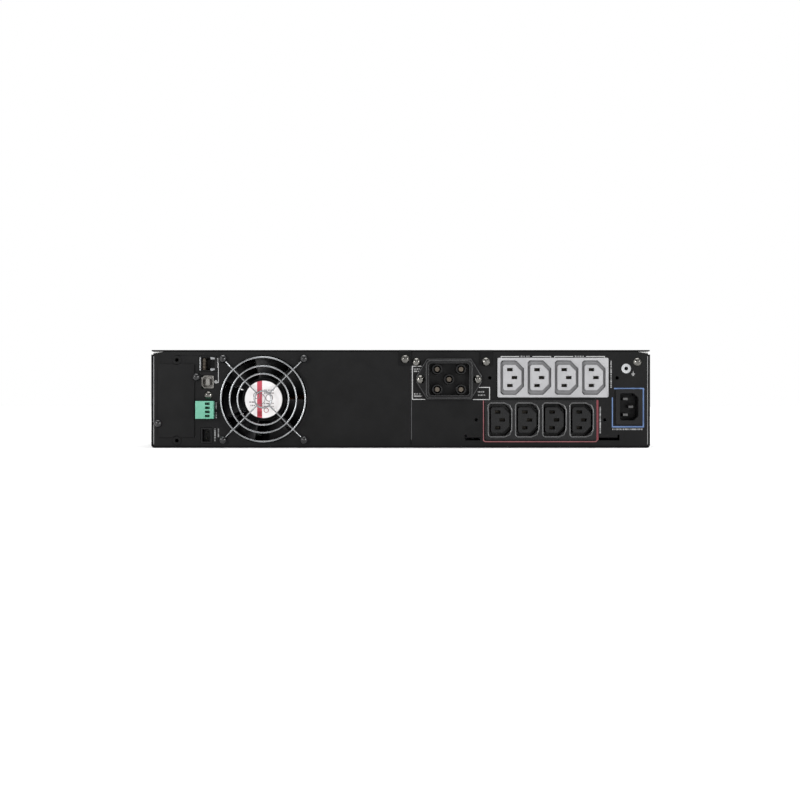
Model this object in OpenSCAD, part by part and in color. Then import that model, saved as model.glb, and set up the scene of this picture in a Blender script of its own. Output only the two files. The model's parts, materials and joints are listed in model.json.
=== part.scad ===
// Rackmount uninterruptible power supply, two rack units high.
// X runs across the unit, +Y from the rear connector panel to the front bezel, +Z up.
// Inside the modules, depth 0 is the outer face of the rear panel.

/* [Chassis] */
// Width across the side walls
body_w = 441; // [430:1:530]
// Height over the top cover
body_h = 86.5; // [86:0.5:110]
// Depth from the rear panel to the front edge of the walls
body_d = 490; // [460:1:600]
// Thickness of the folded steel sheet
sheet = 1.2; // [0.8:0.1:1.5]
// Outer radius of the long bottom folds
fold_r = 3; // [2:0.5:4]
// Depth of the flanges folded off the sheet parts
flange = 12; // [8:1:16]

/* [Front] */
// Depth of the moulded bezel in front of the chassis
bezel_d = 32; // [28:1:40]
// Wall of the moulded front parts
moulded = 2.5; // [2:0.1:3]
// Pitch of the bezel louvres
louvre_pitch = 6.5; // [5:0.5:9]
// Open height of each louvre
louvre_gap = 2.6; // [2:0.1:3]

/* [Rack ears] */
// How far each ear stands out past the side wall
ear_reach = 20.8; // [18:0.1:24]
// Distance from the outer edge of the ear to the slot centre
slot_inset = 8.75; // [8:0.05:9]
// Rise between the two slots of an ear
slot_rise = 76.2; // [70:0.1:76.2]
// Width of a mounting slot
slot_w = 6.8; // [6:0.1:7]
// Length of a mounting slot
slot_l = 10.3; // [9:0.1:11]
// Thickness of the ear plate
ear_t = 2.5; // [2:0.1:3]

/* [Battery pack] */
// Length of one battery
battery_l = 151; // [120:1:155]
// Thickness of one battery, which lies on its side
battery_t = 65; // [50:1:68]
// Height of one battery from base to lid
battery_h = 94; // [78:1:96]
// Room between the facing lids for the terminals
terminal_gap = 16; // [14:1:20]
// Clearance round the batteries in their tray
battery_play = 0.5; // [0.3:0.1:1]

/* [Fan] */
// Side of the square fan frame
fan_size = 80; // [60:1:80]
// Depth of the fan frame
fan_depth = 25; // [20:1:32]
// Distance from a fan screw to the side of the frame
fan_screw_inset = 4.25; // [4:0.05:5]
// Thinnest wall between the duct and the side of the frame
duct_wall = 1.3; // [1:0.1:2]
// Wire thickness of the guard
wire = 1.5; // [1.2:0.1:2]
// Number of fan blades
blades = 7; // [5:1:9]

/* [Outlets and inlet] */
// Pitch of the outlets in a block
outlet_pitch = 24; // [24:0.5:29]
// Number of outlets in a block
outlet_count = 4; // [2:1:4]
// Height of an outlet block
block_h = 35; // [34:0.5:36]
// How far the blocks and the inlet stand out of the panel
proud = 1.5; // [1:0.1:2.5]
// Width and height of the inlet cavity
inlet_cavity = [16.2, 23.9];
// Depth of the inlet cavity
inlet_depth = 16; // [14:0.5:18]

/* [Fits] */
// Clearance between a fixed piece and its opening
fit_gap = 0.2; // [0.1:0.05:0.3]
// Clearance round a piece that moves
move_gap = 0.4; // [0.3:0.05:0.6]
// Radial clearance of a turning pin
pin_gap = 0.05; // [0.02:0.01:0.1]

/* [Hidden] */
$fn = 48;

left = -body_w / 2;
right = body_w / 2;
front = body_d + bezel_d;

// Screws: head radius, head height, shank radius and shank length
silver_screw = [3.9, 2.2, 1.95, 8];
black_screw = [3.6, 2.4, 1.95, 8];
screw_hole_r = 2.15;
nut_r = 3;
nut_t = 2.5;

// Rear panel faces
panel_bottom = sheet + fit_gap;
panel_top = body_h - sheet - fit_gap;
panel_half = body_w / 2 - sheet - fit_gap;
edge_gap = 0.3;
seam_gap = 0.3;
fit_all = 2 * [fit_gap, fit_gap];
cover_drop = 4;
notch_w = 9;
notch_h = 2.4;
panel_fold_r = sheet + 0.6;
tab_l = 12.5;
tab_w = 10.6;

// Fan
fan_c = [left + 99.2, body_h / 2 - 0.4];
hub_r = 19;
guard_plane = 2.6 * wire;
duct_r = fan_size / 2 - duct_wall;
fan_screw_reach = fan_size / 2 - fan_screw_inset;
centre_ring_r = 7.4;
guard_rings = [duct_r - 1.5, duct_r - 9.3, duct_r - 16.1, centre_ring_r];
fan_corner = sqrt(2) * fan_screw_reach;
eyelet_r = 2.7;
guard_bend_r = fan_corner - 9.5;
shaft_r = 2;
bearing_r = 4;
fan_plate_d = sheet + 2.5;
bearing_end = sheet + 15;

// Left column: card slot and ports, each as [x, z] and [width, height]
card_c = [left + 22.3, 41.65];
card_size = [31.8, 65];
card_screws = [[left + 2 * sheet + fit_gap + nut_r + 0.6, 21.6], [left + 39.9, 62.5]];
card_lug_r = 4;
insert_c = [[left + 22.7, body_h - 8.8], [left + 22.7, 6.4]];
insert_r = 4.1;
insert_bore_r = 1.6;
network_c = [left + 50.2, 74.2];
network_size = [15.2, 13.2];
usb_c = [left + 50, 58.25];
usb_size = [10.4, 11.1];
usb_wall = 0.6;
port_screw = [left + 50.5, 46.4];
terminal_c = [left + 47.8, 33.6];
terminal_size = [16, 15.6];
terminal_reach = 6;
terminal_depth = 9.5;
clamp_pitch = 3.6;
clamp_count = 4;
clamp_r = 1.2;
clamp_d = -terminal_reach / 2 - 0.4;
detection_c = [left + 48.85, 11];
detection_size = [9.7, 13.4];
detection_pin = [0.7, 0.7];
detection_pin_reach = 2.7;
port_depth = 16;

// Right part: outlet blocks, battery socket, inlet and ground terminal
block_w = (outlet_count - 1) * outlet_pitch + 26;
grey_c = [right - 37 - block_w / 2, 62.1];
black_c = [right - 47.8 - block_w / 2, 24.7];
block_depth = 22;
outlet_core = [16.2, 22.6];
outlet_groove = [20.8, 30.2];
groove_depth = 13;
outlet_slot = [5, 2.8];
live_offset = [-2.05, 7];
earth_offset = [1.95, 0];
retainer_slots = [[black_c[0] - block_w / 2 - 11.1, 13.6], [right - 36.2, 18.1]];
retainer_slot_z = 7.8;
retainer_slot_h = 2.4;
retainer_hook = [1.6, 5];
socket_c = [grey_c[0] - block_w / 2 - 42.8, 60.5];
socket_rim = [41.4, 34.1];
socket_reach = 6;
socket_depth = 18;
socket_contact = [10.5, 8.9];
socket_tower_r = 4.5;
socket_pin_r = 2.05;
socket_screw_reach = 25.2;
seam_x = socket_c[0] - 33.6;
inlet_c = [right - 18.8, 36.25];
inlet_flange = [23.5, 31.5];
inlet_live = [-2.7, 7];
inlet_earth = [2.1, 0];
inlet_blade = [4, 2];
ground_c = [right - 21.3, 70.1];
ground_r = 4.2;
ground_thread_r = 1.65;
ground_depth = 9;
block_hole_r = 1.45;
block_holes = [[grey_c[0] - block_w / 2 - 6.7, 61.8], [grey_c[0] + block_w / 2 + 7.8, 61.8],
    [black_c[0] - block_w / 2 - 7.9, 24.7], [black_c[0] + block_w / 2 + 7.7, 24.7]];

// Cover tabs over the panels, and the silver screws with the face that each one sits on
tab_screws = [[seam_x - 5.1, body_h - 8.2], [grey_c[0] - block_w / 2 - 10.1, body_h - 10.4]];
plain_screws = [port_screw, [seam_x + 4.8, body_h - 10.7], [right - 11.2, body_h - 10.6]];

// Battery bay, on the right side behind the bezel
skid_h = 1.9;
skid_w = 8;
tray_z = sheet + skid_h + 0.3;
tray_w = 2 * battery_h + terminal_gap + 2 * (sheet + battery_play);
tray_hi = right - sheet - moulded - 0.5;
tray_lo = tray_hi - tray_w;
tray_front = body_d - 4;
tray_room = 26;
tray_l = 2 * battery_l + 3 * battery_play + 2 * sheet + tray_room;
tray_back = tray_front - tray_l;
tray_wall_h = 38;
pack_z = tray_z + sheet;
divider_x = tray_lo - 1 - sheet;
handle_reach = 18;
handle_r = 3;
handle_span = 90;
blade_inset = 18;
blade_w = 6.4;
blade_drop = 11;
lead_r = 2.2;
window_lo = tray_lo - 0.8;
window_hi = tray_hi + 0.8;
window_bottom = tray_z - 0.4;
window_top = body_h - 5.5;

// Electronics on the left side
board_z = 9.2;
board_t = 1.6;
board_lo = left + 12;
board_hi = divider_x - 5;
board_back = 64;
board_front = body_d - 62;
deck = board_z + board_t;
sink_x = [board_lo + 60, board_lo + 142];
sink_d = [board_back + 70, board_back + 200];
sink_h = min(56, body_h - deck - 14);
transistor_count = 4;
transformer_c = [board_lo + 70, board_front - 55];
core_w = 78;
core_d = 60;
core_h = min(60, body_h - deck - 8);
core_leg = 18;

// Display, power button and lights in the bezel
display_c = [left + 128, body_h / 2];
display_w = 96;
display_h = 56;
display_t = 14;
display_face = front - 1;
hinge_r = 6;
hinge_pin_r = 1.5;
hinge_pin_l = 5;
hinge_z = display_c[1] + display_h / 2 - hinge_r;
hinge_d = display_face - hinge_r;
lens_size = [64, 28];
lens_z = display_c[1] + 5;
key_size = [13, 5];
key_z = display_c[1] - display_h / 2 + 9;
key_pitch = 22;
key_proud = 1;
button_c = [divider_x - 28, body_h / 2];
button_r = 6;
led_r = 1.6;
led_pitch = 7;
led_count = 4;

// The bounding box is centred on the origin from front to back
rear_most = max(socket_reach, terminal_reach, guard_plane + wire, wire + black_screw[1]);
mid_d = (front - rear_most) / 2;

function flip(p) = [p[0], -p[1]];

module in_frame() {
    translate([0, -mid_d, 0]) children();
}

// A box from its low corner to its high corner
module block(lo, hi) {
    translate(lo) cube(hi - lo);
}

// A round bar along the depth
module rod(c, r, d0, d1) {
    translate([c[0], d0, c[1]]) rotate([-90, 0, 0]) cylinder(r = r, h = d1 - d0);
}

// A flat outline in X and Z, swept along the depth
module along_depth(d0, d1) {
    translate([0, d1, 0]) rotate([90, 0, 0]) linear_extrude(d1 - d0) children();
}

// A rectangle centred on c
module panel_rect(c, size) {
    translate([c[0] - size[0] / 2, c[1] - size[1] / 2]) square(size);
}

// A rectangle with round corners, centred on c
module round_rect(c, size, r) {
    panel_rect(c, [size[0] - 2 * r, size[1]]);
    panel_rect(c, [size[0], size[1] - 2 * r]);
    for (sx = [-1, 1], sz = [-1, 1])
        translate([c[0] + sx * (size[0] / 2 - r), c[1] + sz * (size[1] / 2 - r)]) circle(r);
}

// A rectangle with two corners cut off on its +X side and two blunted ones, centred on c
module keyed_rect(c, size, cut) {
    w = size[0] / 2;
    h = size[1] / 2;
    blunt = cut / 4;
    translate(c) polygon([[blunt - w, -h], [w - cut, -h], [w, cut - h], [w, h - cut],
        [w - cut, h], [blunt - w, h], [-w, h - blunt], [-w, blunt - h]]);
}

// A domed screw with a cross recess, its head outside the plane at depth d
module screw(c, d, s) {
    dome_r = (s[0] * s[0] + s[1] * s[1]) / (2 * s[1]);
    difference() {
        union() {
            intersection() {
                translate([c[0], d - s[1] + dome_r, c[1]]) sphere(r = dome_r);
                rod(c, s[0], d - s[1], d);
            }
            rod(c, s[2], d, d + s[3]);
        }
        for (a = [0, 90]) translate([c[0], d - s[1], c[1]]) rotate([0, a, 0])
            cube([s[0] * 0.9, s[1], s[0] * 0.25], center = true);
    }
}

// The outlets of one block
module outlet_places(c) {
    for (i = [0:outlet_count - 1])
        translate([c[0] + (i - (outlet_count - 1) / 2) * outlet_pitch, 0, c[1]]) children();
}

// The three contact places of an outlet
module outlet_slots(size) {
    panel_rect(live_offset, size);
    panel_rect(flip(live_offset), size);
    panel_rect(earth_offset, size);
}

// ---- Chassis ----

module chassis_tray() {
    color("#2a2a2c") in_frame() {
        difference() {
            union() {
                along_depth(0, body_d) difference() {
                    union() {
                        panel_rect([0, (body_h - cover_drop + fold_r) / 2],
                            [body_w, body_h - cover_drop - fold_r]);
                        panel_rect([0, fold_r], [body_w - 2 * fold_r, 2 * fold_r]);
                        for (sx = [-1, 1])
                            translate([sx * (body_w / 2 - fold_r), fold_r]) circle(fold_r);
                    }
                    panel_rect([0, sheet + body_h / 2], [body_w - 2 * sheet, body_h]);
                }
                for (x = [tray_lo + 20, tray_hi - 20 - skid_w])
                    block([x, tray_back, sheet], [x + skid_w, body_d - 10, sheet + skid_h]);
            }
            ear_holes(screw_hole_r);
            // Vents along both side walls
            for (sx = [-1, 1], i = [0:7])
                translate([sx * body_w / 2, body_d * 0.3 + i * 12, body_h * 0.5])
                    cube([4 * sheet, 6, 34], center = true);
        }
    }
}

module top_cover() {
    plate_half = body_w / 2 - edge_gap;
    color("#242426") in_frame() difference() {
        union() {
            block([-plate_half, 0, body_h - sheet], [plate_half, body_d, body_h]);
            for (sx = [-1, 1])
                translate([sx * (panel_half - sheet / 2), (body_d + flange) / 2,
                    body_h - sheet - flange / 2])
                    cube([sheet, body_d - flange - 4 * sheet, flange], center = true);
            for (s = tab_screws)
                block([s[0] - tab_w / 2, -sheet, body_h - tab_l - 1],
                    [s[0] + tab_w / 2, 0, body_h]);
        }
        for (s = tab_screws) rod(s, screw_hole_r, -2 * sheet, sheet);
    }
}

// Plan of a panel half: a face with a round fold into its side flange
module folded_plan(x0, x1, side) {
    edge = side < 0 ? x0 : x1;
    inner = side < 0 ? x1 : x0;
    c = [edge - side * panel_fold_r, panel_fold_r];
    translate([min(inner, c[0]), 0]) square([abs(inner - c[0]), sheet]);
    translate([min(edge, edge - side * sheet), c[1]]) square([sheet, flange - c[1]]);
    intersection() {
        translate(c) difference() {
            circle(panel_fold_r);
            circle(panel_fold_r - sheet);
        }
        translate([min(edge, c[0]), 0]) square(panel_fold_r);
    }
}

// The sheet of one half of the rear panel, folded forward at the top, bottom and side
module panel_half_sheet(x0, x1, side) {
    edge = side < 0 ? x0 : x1;
    flat_lo = x0 + (side < 0 ? panel_fold_r : 0);
    flat_hi = x1 - (side < 0 ? 0 : panel_fold_r);
    difference() {
        union() {
            translate([0, 0, panel_bottom]) linear_extrude(panel_top - panel_bottom)
                folded_plan(x0, x1, side);
            block([flat_lo, 0, panel_bottom], [flat_hi, flange, panel_bottom + sheet]);
            block([flat_lo, 0, panel_top - sheet], [flat_hi, flange, panel_top]);
        }
        // Wedge notch in the top corner, with the top flange cut back behind it
        along_depth(-1, panel_fold_r + 0.1) polygon([[edge + side, panel_top + 1],
            [edge + side, panel_top - notch_h], [edge - side * notch_w, panel_top - 0.3],
            [edge - side * notch_w, panel_top + 1]]);
        translate([edge - side * notch_w / 2, flange / 2 + panel_fold_r, panel_top])
            cube([notch_w + 2, flange + 1, 2 * notch_h + 2], center = true);
    }
}

module rear_panel() {
    color("#2e2e30") in_frame() difference() {
        union() {
            panel_half_sheet(-panel_half, seam_x - seam_gap / 2, -1);
            // Raised, threaded collars for an accessory card
            for (c = insert_c) {
                rod(c, insert_r, -0.3, sheet);
                rod(c, insert_r - 0.8, sheet, sheet + nut_t);
            }
        }
        // Relief in the flanges for the fan frame
        along_depth(sheet, flange + 1) panel_rect(fan_c, [fan_size, fan_size] + fit_all);
        rod(fan_c, duct_r, -1, sheet + 1);
        for (sx = [-1, 1], sz = [-1, 1])
            rod(fan_c + fan_screw_reach * [sx, sz], screw_hole_r, -1, sheet + 1);
        for (s = concat(card_screws, [port_screw, tab_screws[0]]))
            rod(s, screw_hole_r, -1, sheet + 1);
        for (c = insert_c) rod(c, insert_bore_r, -1, sheet + nut_t + 1);
        along_depth(-1, sheet + 1) {
            panel_rect(card_c, card_size - [9, 9]);
            panel_rect(network_c, network_size + fit_all);
            panel_rect(usb_c, usb_size + fit_all);
            panel_rect(terminal_c, terminal_size + fit_all);
            panel_rect(detection_c, detection_size + fit_all);
        }
    }
}

module rear_power_panel() {
    color("#2c2c2e") in_frame() difference() {
        panel_half_sheet(seam_x + seam_gap / 2, panel_half, 1);
        along_depth(-1, sheet + 1) {
            round_rect(socket_c, socket_rim - [3, 3] + fit_all, 4);
            panel_rect(grey_c, [block_w, block_h] - [2, 2] + fit_all);
            panel_rect(black_c, [block_w, block_h] - [2, 2] + fit_all);
            panel_rect(inlet_c, inlet_flange - [3, 3] + fit_all);
            for (i = [0, 1]) {
                s = retainer_slots[i];
                panel_rect([s[0], retainer_slot_z], [s[1], retainer_slot_h]);
                panel_rect([s[0] + (2 * i - 1) * (s[1] - retainer_hook[0]) / 2,
                    retainer_slot_z + retainer_slot_h / 2], retainer_hook);
            }
        }
        for (s = [tab_screws[1], plain_screws[1], plain_screws[2]])
            rod(s, screw_hole_r, -1, sheet + 1);
        for (sx = [-1, 1])
            rod(socket_c + [sx * socket_screw_reach, 0], screw_hole_r, -1, sheet + 1);
        for (c = block_holes) rod(c, block_hole_r, -1, sheet + 1);
        rod(ground_c, ground_r - 1, -1, sheet + 1);
    }
}

module divider_wall() {
    color("#8f9296") in_frame() difference() {
        union() {
            block([divider_x, tray_back - 40, sheet],
                [divider_x + sheet, body_d - sheet, body_h - sheet - fit_gap]);
            block([divider_x - flange, tray_back - 40, sheet],
                [divider_x, body_d - sheet, 2 * sheet]);
        }
        for (i = [0:3])
            translate([divider_x, tray_back + 60 + i * 60, body_h * 0.55])
                rotate([0, 90, 0]) cylinder(r = 6, h = 6 * sheet, center = true);
    }
}

module front_plate() {
    color("#8f9296") in_frame() difference() {
        block([-panel_half, body_d - sheet, sheet], [panel_half, body_d, panel_top]);
        block([window_lo, body_d - 2 * sheet, window_bottom],
            [window_hi, body_d + sheet, window_top]);
        for (i = [0:11]) translate([left + 24 + i * 8, body_d, body_h / 2])
            cube([4, 4 * sheet, 48], center = true);
    }
}

// ---- Rear panel pieces ----

module card_slot_cover() {
    color("#2c2c2e") in_frame() difference() {
        along_depth(-sheet, 0) {
            panel_rect(card_c, card_size);
            for (s = card_screws) translate(s) circle(card_lug_r);
        }
        for (s = card_screws) rod(s, screw_hole_r, -2 * sheet, sheet);
        for (c = insert_c) rod(c, insert_r + fit_gap, -2 * sheet, sheet);
    }
}

module card_slot_screws() {
    color("#1a1a1a") in_frame() for (s = card_screws) screw(s, -sheet, black_screw);
}

module panel_screws() {
    color("silver") in_frame() {
        for (s = tab_screws) screw(s, -sheet, silver_screw);
        for (s = plain_screws) screw(s, 0, silver_screw);
    }
}

// Threaded rings pressed into the sheet behind each screw
module clinch_nuts() {
    color("#b9bcc0") in_frame() {
        for (c = concat(tab_screws, plain_screws, card_screws)) difference() {
            rod(c, nut_r, sheet, sheet + nut_t);
            rod(c, screw_hole_r, 0, sheet + nut_t + 1);
        }
    }
}

module ground_terminal() {
    color("#c9ccd0") in_frame() difference() {
        union() {
            rod(ground_c, ground_r, -0.6, 0);
            rod(ground_c, ground_r - 1, 0, sheet);
            rod(ground_c, ground_r, sheet, ground_depth - 0.6);
        }
        rod(ground_c, ground_thread_r, -1, ground_depth);
    }
}

// ---- Fan ----

module fan_duct_outline() {
    difference() {
        round_rect(fan_c, [fan_size, fan_size], 4);
        translate(fan_c) circle(duct_r);
    }
}

module fan_frame() {
    color("#161616") in_frame() difference() {
        union() {
            along_depth(fan_plate_d, sheet + fan_depth) fan_duct_outline();
            // Four struts carry the hub plate and its bearing tube
            along_depth(sheet, fan_plate_d) {
                fan_duct_outline();
                translate(fan_c) {
                    circle(hub_r - 2);
                    for (a = [45:90:315]) rotate(a)
                        translate([0, -1.5]) square([duct_r + 1, 3]);
                }
            }
            rod(fan_c, bearing_r + 2, fan_plate_d - 1, bearing_end);
        }
        for (sx = [-1, 1], sz = [-1, 1])
            rod(fan_c + fan_screw_reach * [sx, sz], screw_hole_r, 0, sheet + fan_depth + 1);
        rod(fan_c, bearing_r, fan_plate_d, bearing_end + 1);
    }
}

module fan_bearing() {
    color("#b5893c") in_frame() difference() {
        rod(fan_c, bearing_r, fan_plate_d, bearing_end);
        rod(fan_c, shaft_r + pin_gap, fan_plate_d - 1, bearing_end + 1);
    }
}

module fan_shaft() {
    color("silver") in_frame() rod(fan_c, shaft_r, sheet + 3, sheet + fan_depth - 4);
}

module fan_rotor() {
    rotor_back = sheet + fan_depth - 2;
    tip_r = duct_r - 0.8;
    color("#1c1c1e") in_frame() {
        difference() {
            rod(fan_c, hub_r, sheet + 3.5, rotor_back);
            rod(fan_c, hub_r - 2, sheet + 3, rotor_back - 3);
            rod(fan_c, shaft_r, sheet + 3, rotor_back - 2);
        }
        intersection() {
            difference() {
                rod(fan_c, tip_r, sheet + 4, rotor_back);
                rod(fan_c, hub_r - 1, sheet + 3, rotor_back + 1);
            }
            for (i = [0:blades - 1])
                translate([fan_c[0], sheet + fan_depth / 2 + 0.7, fan_c[1]])
                    rotate([0, i * 360 / blades, 0]) rotate([38, 0, 0])
                    translate([hub_r - 2, -12, -0.8]) cube([tip_r, 24, 1.6]);
        }
    }
}

module fan_label() {
    color("white") in_frame() rod(fan_c, hub_r - 2.5, sheet - 0.3, sheet);
}

module fan_guard() {
    spoke_r = wire * 0.4;
    inner = centre_ring_r - 0.5;
    spoke_d = -guard_plane + spoke_r + wire * 0.3;
    run = fan_corner - eyelet_r - guard_bend_r;
    fall = -spoke_r - spoke_d;
    color("#c4c7ca") in_frame() {
        for (k = guard_rings) translate([fan_c[0], -guard_plane, fan_c[1]])
            rotate([90, 0, 0]) rotate_extrude() translate([k, 0]) circle(wire / 2);
        for (a = [45:90:315]) translate([fan_c[0], 0, fan_c[1]]) rotate([0, a, 0]) {
            translate([inner, spoke_d, 0]) rotate([0, 90, 0])
                cylinder(r = spoke_r, h = guard_bend_r - inner + 0.1);
            translate([guard_bend_r, spoke_d, 0]) rotate([0, 0, atan2(fall, run)])
                rotate([0, 90, 0]) cylinder(r = spoke_r - 0.05, h = norm([run, fall]));
            // Flattened eyelet under the screw head
            translate([fan_corner, 0, 0]) rotate([90, 0, 0]) difference() {
                cylinder(r = eyelet_r + wire / 2, h = wire);
                translate([0, 0, -1]) cylinder(r = screw_hole_r, h = wire + 2);
            }
        }
    }
}

module fan_screws() {
    color("#1a1a1a") in_frame() for (sx = [-1, 1], sz = [-1, 1])
        screw(fan_c + fan_screw_reach * [sx, sz], -wire, black_screw);
}

// ---- Ports ----

module network_jack() {
    color("#303236") in_frame() difference() {
        along_depth(-0.4, port_depth) panel_rect(network_c, network_size);
        along_depth(-1, port_depth - 2) {
            panel_rect(network_c - [1, 0], [9, 11.4]);
            panel_rect(network_c + [4.5, 0], [3, 6.2]);
        }
    }
}

module usb_shell() {
    color("#9fa2a6") in_frame() difference() {
        along_depth(-0.6, port_depth) mirror([1, 0]) keyed_rect([-usb_c[0], usb_c[1]],
            usb_size, 2.2);
        along_depth(-1, port_depth - 1) mirror([1, 0]) keyed_rect([-usb_c[0], usb_c[1]],
            usb_size - 2 * [usb_wall, usb_wall], 2);
    }
}

module usb_tongue() {
    color("#e8e8e8") in_frame()
        along_depth(0.8, port_depth - 1) panel_rect(usb_c, [3.2, 5.6]);
}

module terminal_header() {
    wall = 1;
    color("#3f8f62") in_frame() difference() {
        along_depth(-0.5, port_depth) panel_rect(terminal_c, terminal_size);
        along_depth(-1, terminal_depth + 0.5)
            panel_rect(terminal_c, terminal_size - 2 * [wall, wall]);
    }
}

module terminal_plug() {
    wall = 1;
    color("#6fbf95") in_frame() difference() {
        union() {
            along_depth(-terminal_reach, -0.9) panel_rect(terminal_c, terminal_size);
            along_depth(-1, terminal_depth)
                panel_rect(terminal_c, terminal_size - 2 * [wall + move_gap, wall + move_gap]);
        }
        for (i = [0:clamp_count - 1]) {
            z = (i - (clamp_count - 1) / 2) * clamp_pitch;
            along_depth(-terminal_reach - 1, 2) panel_rect(terminal_c + [2.6, z], [4.2, 2.2]);
            translate([terminal_c[0] + terminal_size[0] / 2 + 1, clamp_d, terminal_c[1] + z])
                rotate([0, -90, 0]) cylinder(r = clamp_r + 0.1, h = 3.4);
        }
    }
}

module terminal_clamp_screws() {
    face = terminal_c[0] + terminal_size[0] / 2 - 0.6;
    color("silver") in_frame() for (i = [0:clamp_count - 1])
        translate([face, clamp_d, terminal_c[1] + (i - (clamp_count - 1) / 2) * clamp_pitch])
        rotate([0, -90, 0]) difference() {
            cylinder(r = clamp_r, h = 1.8);
            cube([0.5, 3, 1], center = true);
        }
}

module detection_jack() {
    color("#141414") in_frame() difference() {
        along_depth(-0.4, port_depth) panel_rect(detection_c, detection_size);
        along_depth(-1, 9) panel_rect(detection_c, detection_size - [2.4, 2.4]);
        for (sz = [-1, 1])
            along_depth(8, port_depth + 1)
                panel_rect(detection_c + [0, sz * detection_pin_reach], detection_pin);
    }
}

module detection_pins() {
    color("#c8a24a") in_frame() for (sz = [-1, 1])
        along_depth(2, port_depth)
            panel_rect(detection_c + [0, sz * detection_pin_reach], detection_pin);
}

module comm_board() {
    color("#1f5a38") in_frame() block([left + 36, port_depth, 2 * sheet + 1],
        [left + 58.4, port_depth + board_t, body_h - 4]);
}

// ---- Battery socket ----

module socket_contact_places() {
    for (p = [[0, 0], [1, 1], [1, -1], [-1, 1], [-1, -1]])
        translate([socket_c[0] + p[0] * socket_contact[0], 0,
            socket_c[1] + p[1] * socket_contact[1]]) children();
}

module battery_socket() {
    recess = socket_rim - [5, 5];
    color("#202022") in_frame() difference() {
        union() {
            difference() {
                union() {
                    along_depth(-socket_reach, 0) round_rect(socket_c, socket_rim, 4.5);
                    along_depth(-2, 0) translate(socket_c) polygon([[-19.6, 18.4],
                        [19.6, 18.4], [29, 3], [29, -3], [19.6, -17.8], [-19.6, -17.8],
                        [-29, -3], [-29, 3]]);
                    along_depth(0, socket_depth) round_rect(socket_c, socket_rim - [3, 3], 4);
                }
                along_depth(-socket_reach - 1, 8) round_rect(socket_c, recess, 3);
            }
            socket_contact_places() rod([0, 0], socket_tower_r, -socket_reach + 1.5, 9);
        }
        socket_contact_places() rod([0, 0], 3.2, -socket_reach, 7);
        socket_contact_places() rod([0, 0], socket_pin_r, 6, socket_depth + 1);
        for (sx = [-1, 1])
            rod(socket_c + [sx * socket_screw_reach, 0], screw_hole_r, -3, sheet);
    }
}

module battery_socket_pins() {
    color("#c9ccd0") in_frame() socket_contact_places()
        rod([0, 0], socket_pin_r, -socket_reach + 3, socket_depth + 6);
}

module battery_socket_screws() {
    color("silver") in_frame() for (sx = [-1, 1])
        screw(socket_c + [sx * socket_screw_reach, 0], -2, silver_screw);
}

// ---- Outlets and inlet ----

module outlet_block(c) {
    size = [block_w, block_h];
    difference() {
        union() {
            along_depth(-proud, 0) round_rect(c, size, 1.5);
            along_depth(0, block_depth) panel_rect(c, size - [2, 2]);
        }
        outlet_places(c) {
            difference() {
                along_depth(-proud - 1, groove_depth) keyed_rect([0, 0], outlet_groove, 7);
                along_depth(-proud - 2, groove_depth + 1) keyed_rect([0, 0], outlet_core, 5.5);
            }
            along_depth(-proud - 1, groove_depth) outlet_slots(outlet_slot);
        }
    }
}

module outlet_block_grey() {
    color("#b0b0b3") in_frame() outlet_block(grey_c);
}

module outlet_block_black() {
    color("#1b1b1d") in_frame() outlet_block(black_c);
}

module outlet_contacts() {
    color("#c8a24a") in_frame() for (c = [grey_c, black_c]) outlet_places(c)
        along_depth(8, groove_depth) outlet_slots(outlet_slot - [0.8, 0.8]);
}

module inlet_blades() {
    for (p = [inlet_live, flip(inlet_live), inlet_earth]) panel_rect(inlet_c + p, inlet_blade);
}

module inlet_housing() {
    color("#181818") in_frame() difference() {
        union() {
            along_depth(-proud, 0) round_rect(inlet_c, inlet_flange, 2);
            along_depth(0, inlet_depth + 3) panel_rect(inlet_c, inlet_flange - [3, 3]);
        }
        along_depth(-proud - 1, inlet_depth - proud) keyed_rect(inlet_c, inlet_cavity, 4);
        along_depth(0, inlet_depth + 4) inlet_blades();
    }
}

module inlet_pins() {
    color("#c9ccd0") in_frame() along_depth(2.5, inlet_depth + 11) inlet_blades();
}

// ---- Rack ears ----

module ear_screw_places() {
    for (d = [16, 36], z = [18, body_h / 2, body_h - 18])
        translate([0, body_d - d, z]) children();
}

module ear_holes(r) {
    ear_screw_places() rotate([0, 90, 0]) cylinder(r = r, h = 2 * body_w, center = true);
}

// One ear: a leg on the side wall and a slotted face
module rack_ear(side) {
    ear_leg = 48;
    ear_h = body_h - 2 * edge_gap;
    difference() {
        union() {
            along_depth(body_d, body_d + ear_t) panel_rect(
                [side * (body_w / 2 + ear_reach / 2), body_h / 2], [ear_reach, ear_h]);
            translate([side * (body_w / 2 + ear_t / 2), body_d - ear_leg / 2, body_h / 2])
                cube([ear_t, ear_leg + 0.1, ear_h], center = true);
        }
        along_depth(body_d - 1, body_d + ear_t + 1) for (sz = [-1, 1]) {
            c = [side * (body_w / 2 + ear_reach - slot_inset), body_h / 2 + sz * slot_rise / 2];
            panel_rect(c, [slot_l - slot_w, slot_w]);
            for (sx = [-1, 1]) translate(c + [sx * (slot_l - slot_w) / 2, 0])
                circle(slot_w / 2);
        }
        ear_holes(screw_hole_r);
        ear_screw_places() translate([side * (body_w / 2 + ear_t), 0, 0])
            rotate([0, side * -90, 0]) cylinder(r1 = 4.1, r2 = screw_hole_r, h = 2);
    }
}

module rack_ear_left() {
    color("#2a2a2c") in_frame() rack_ear(-1);
}

module rack_ear_right() {
    color("#2a2a2c") in_frame() rack_ear(1);
}

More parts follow.
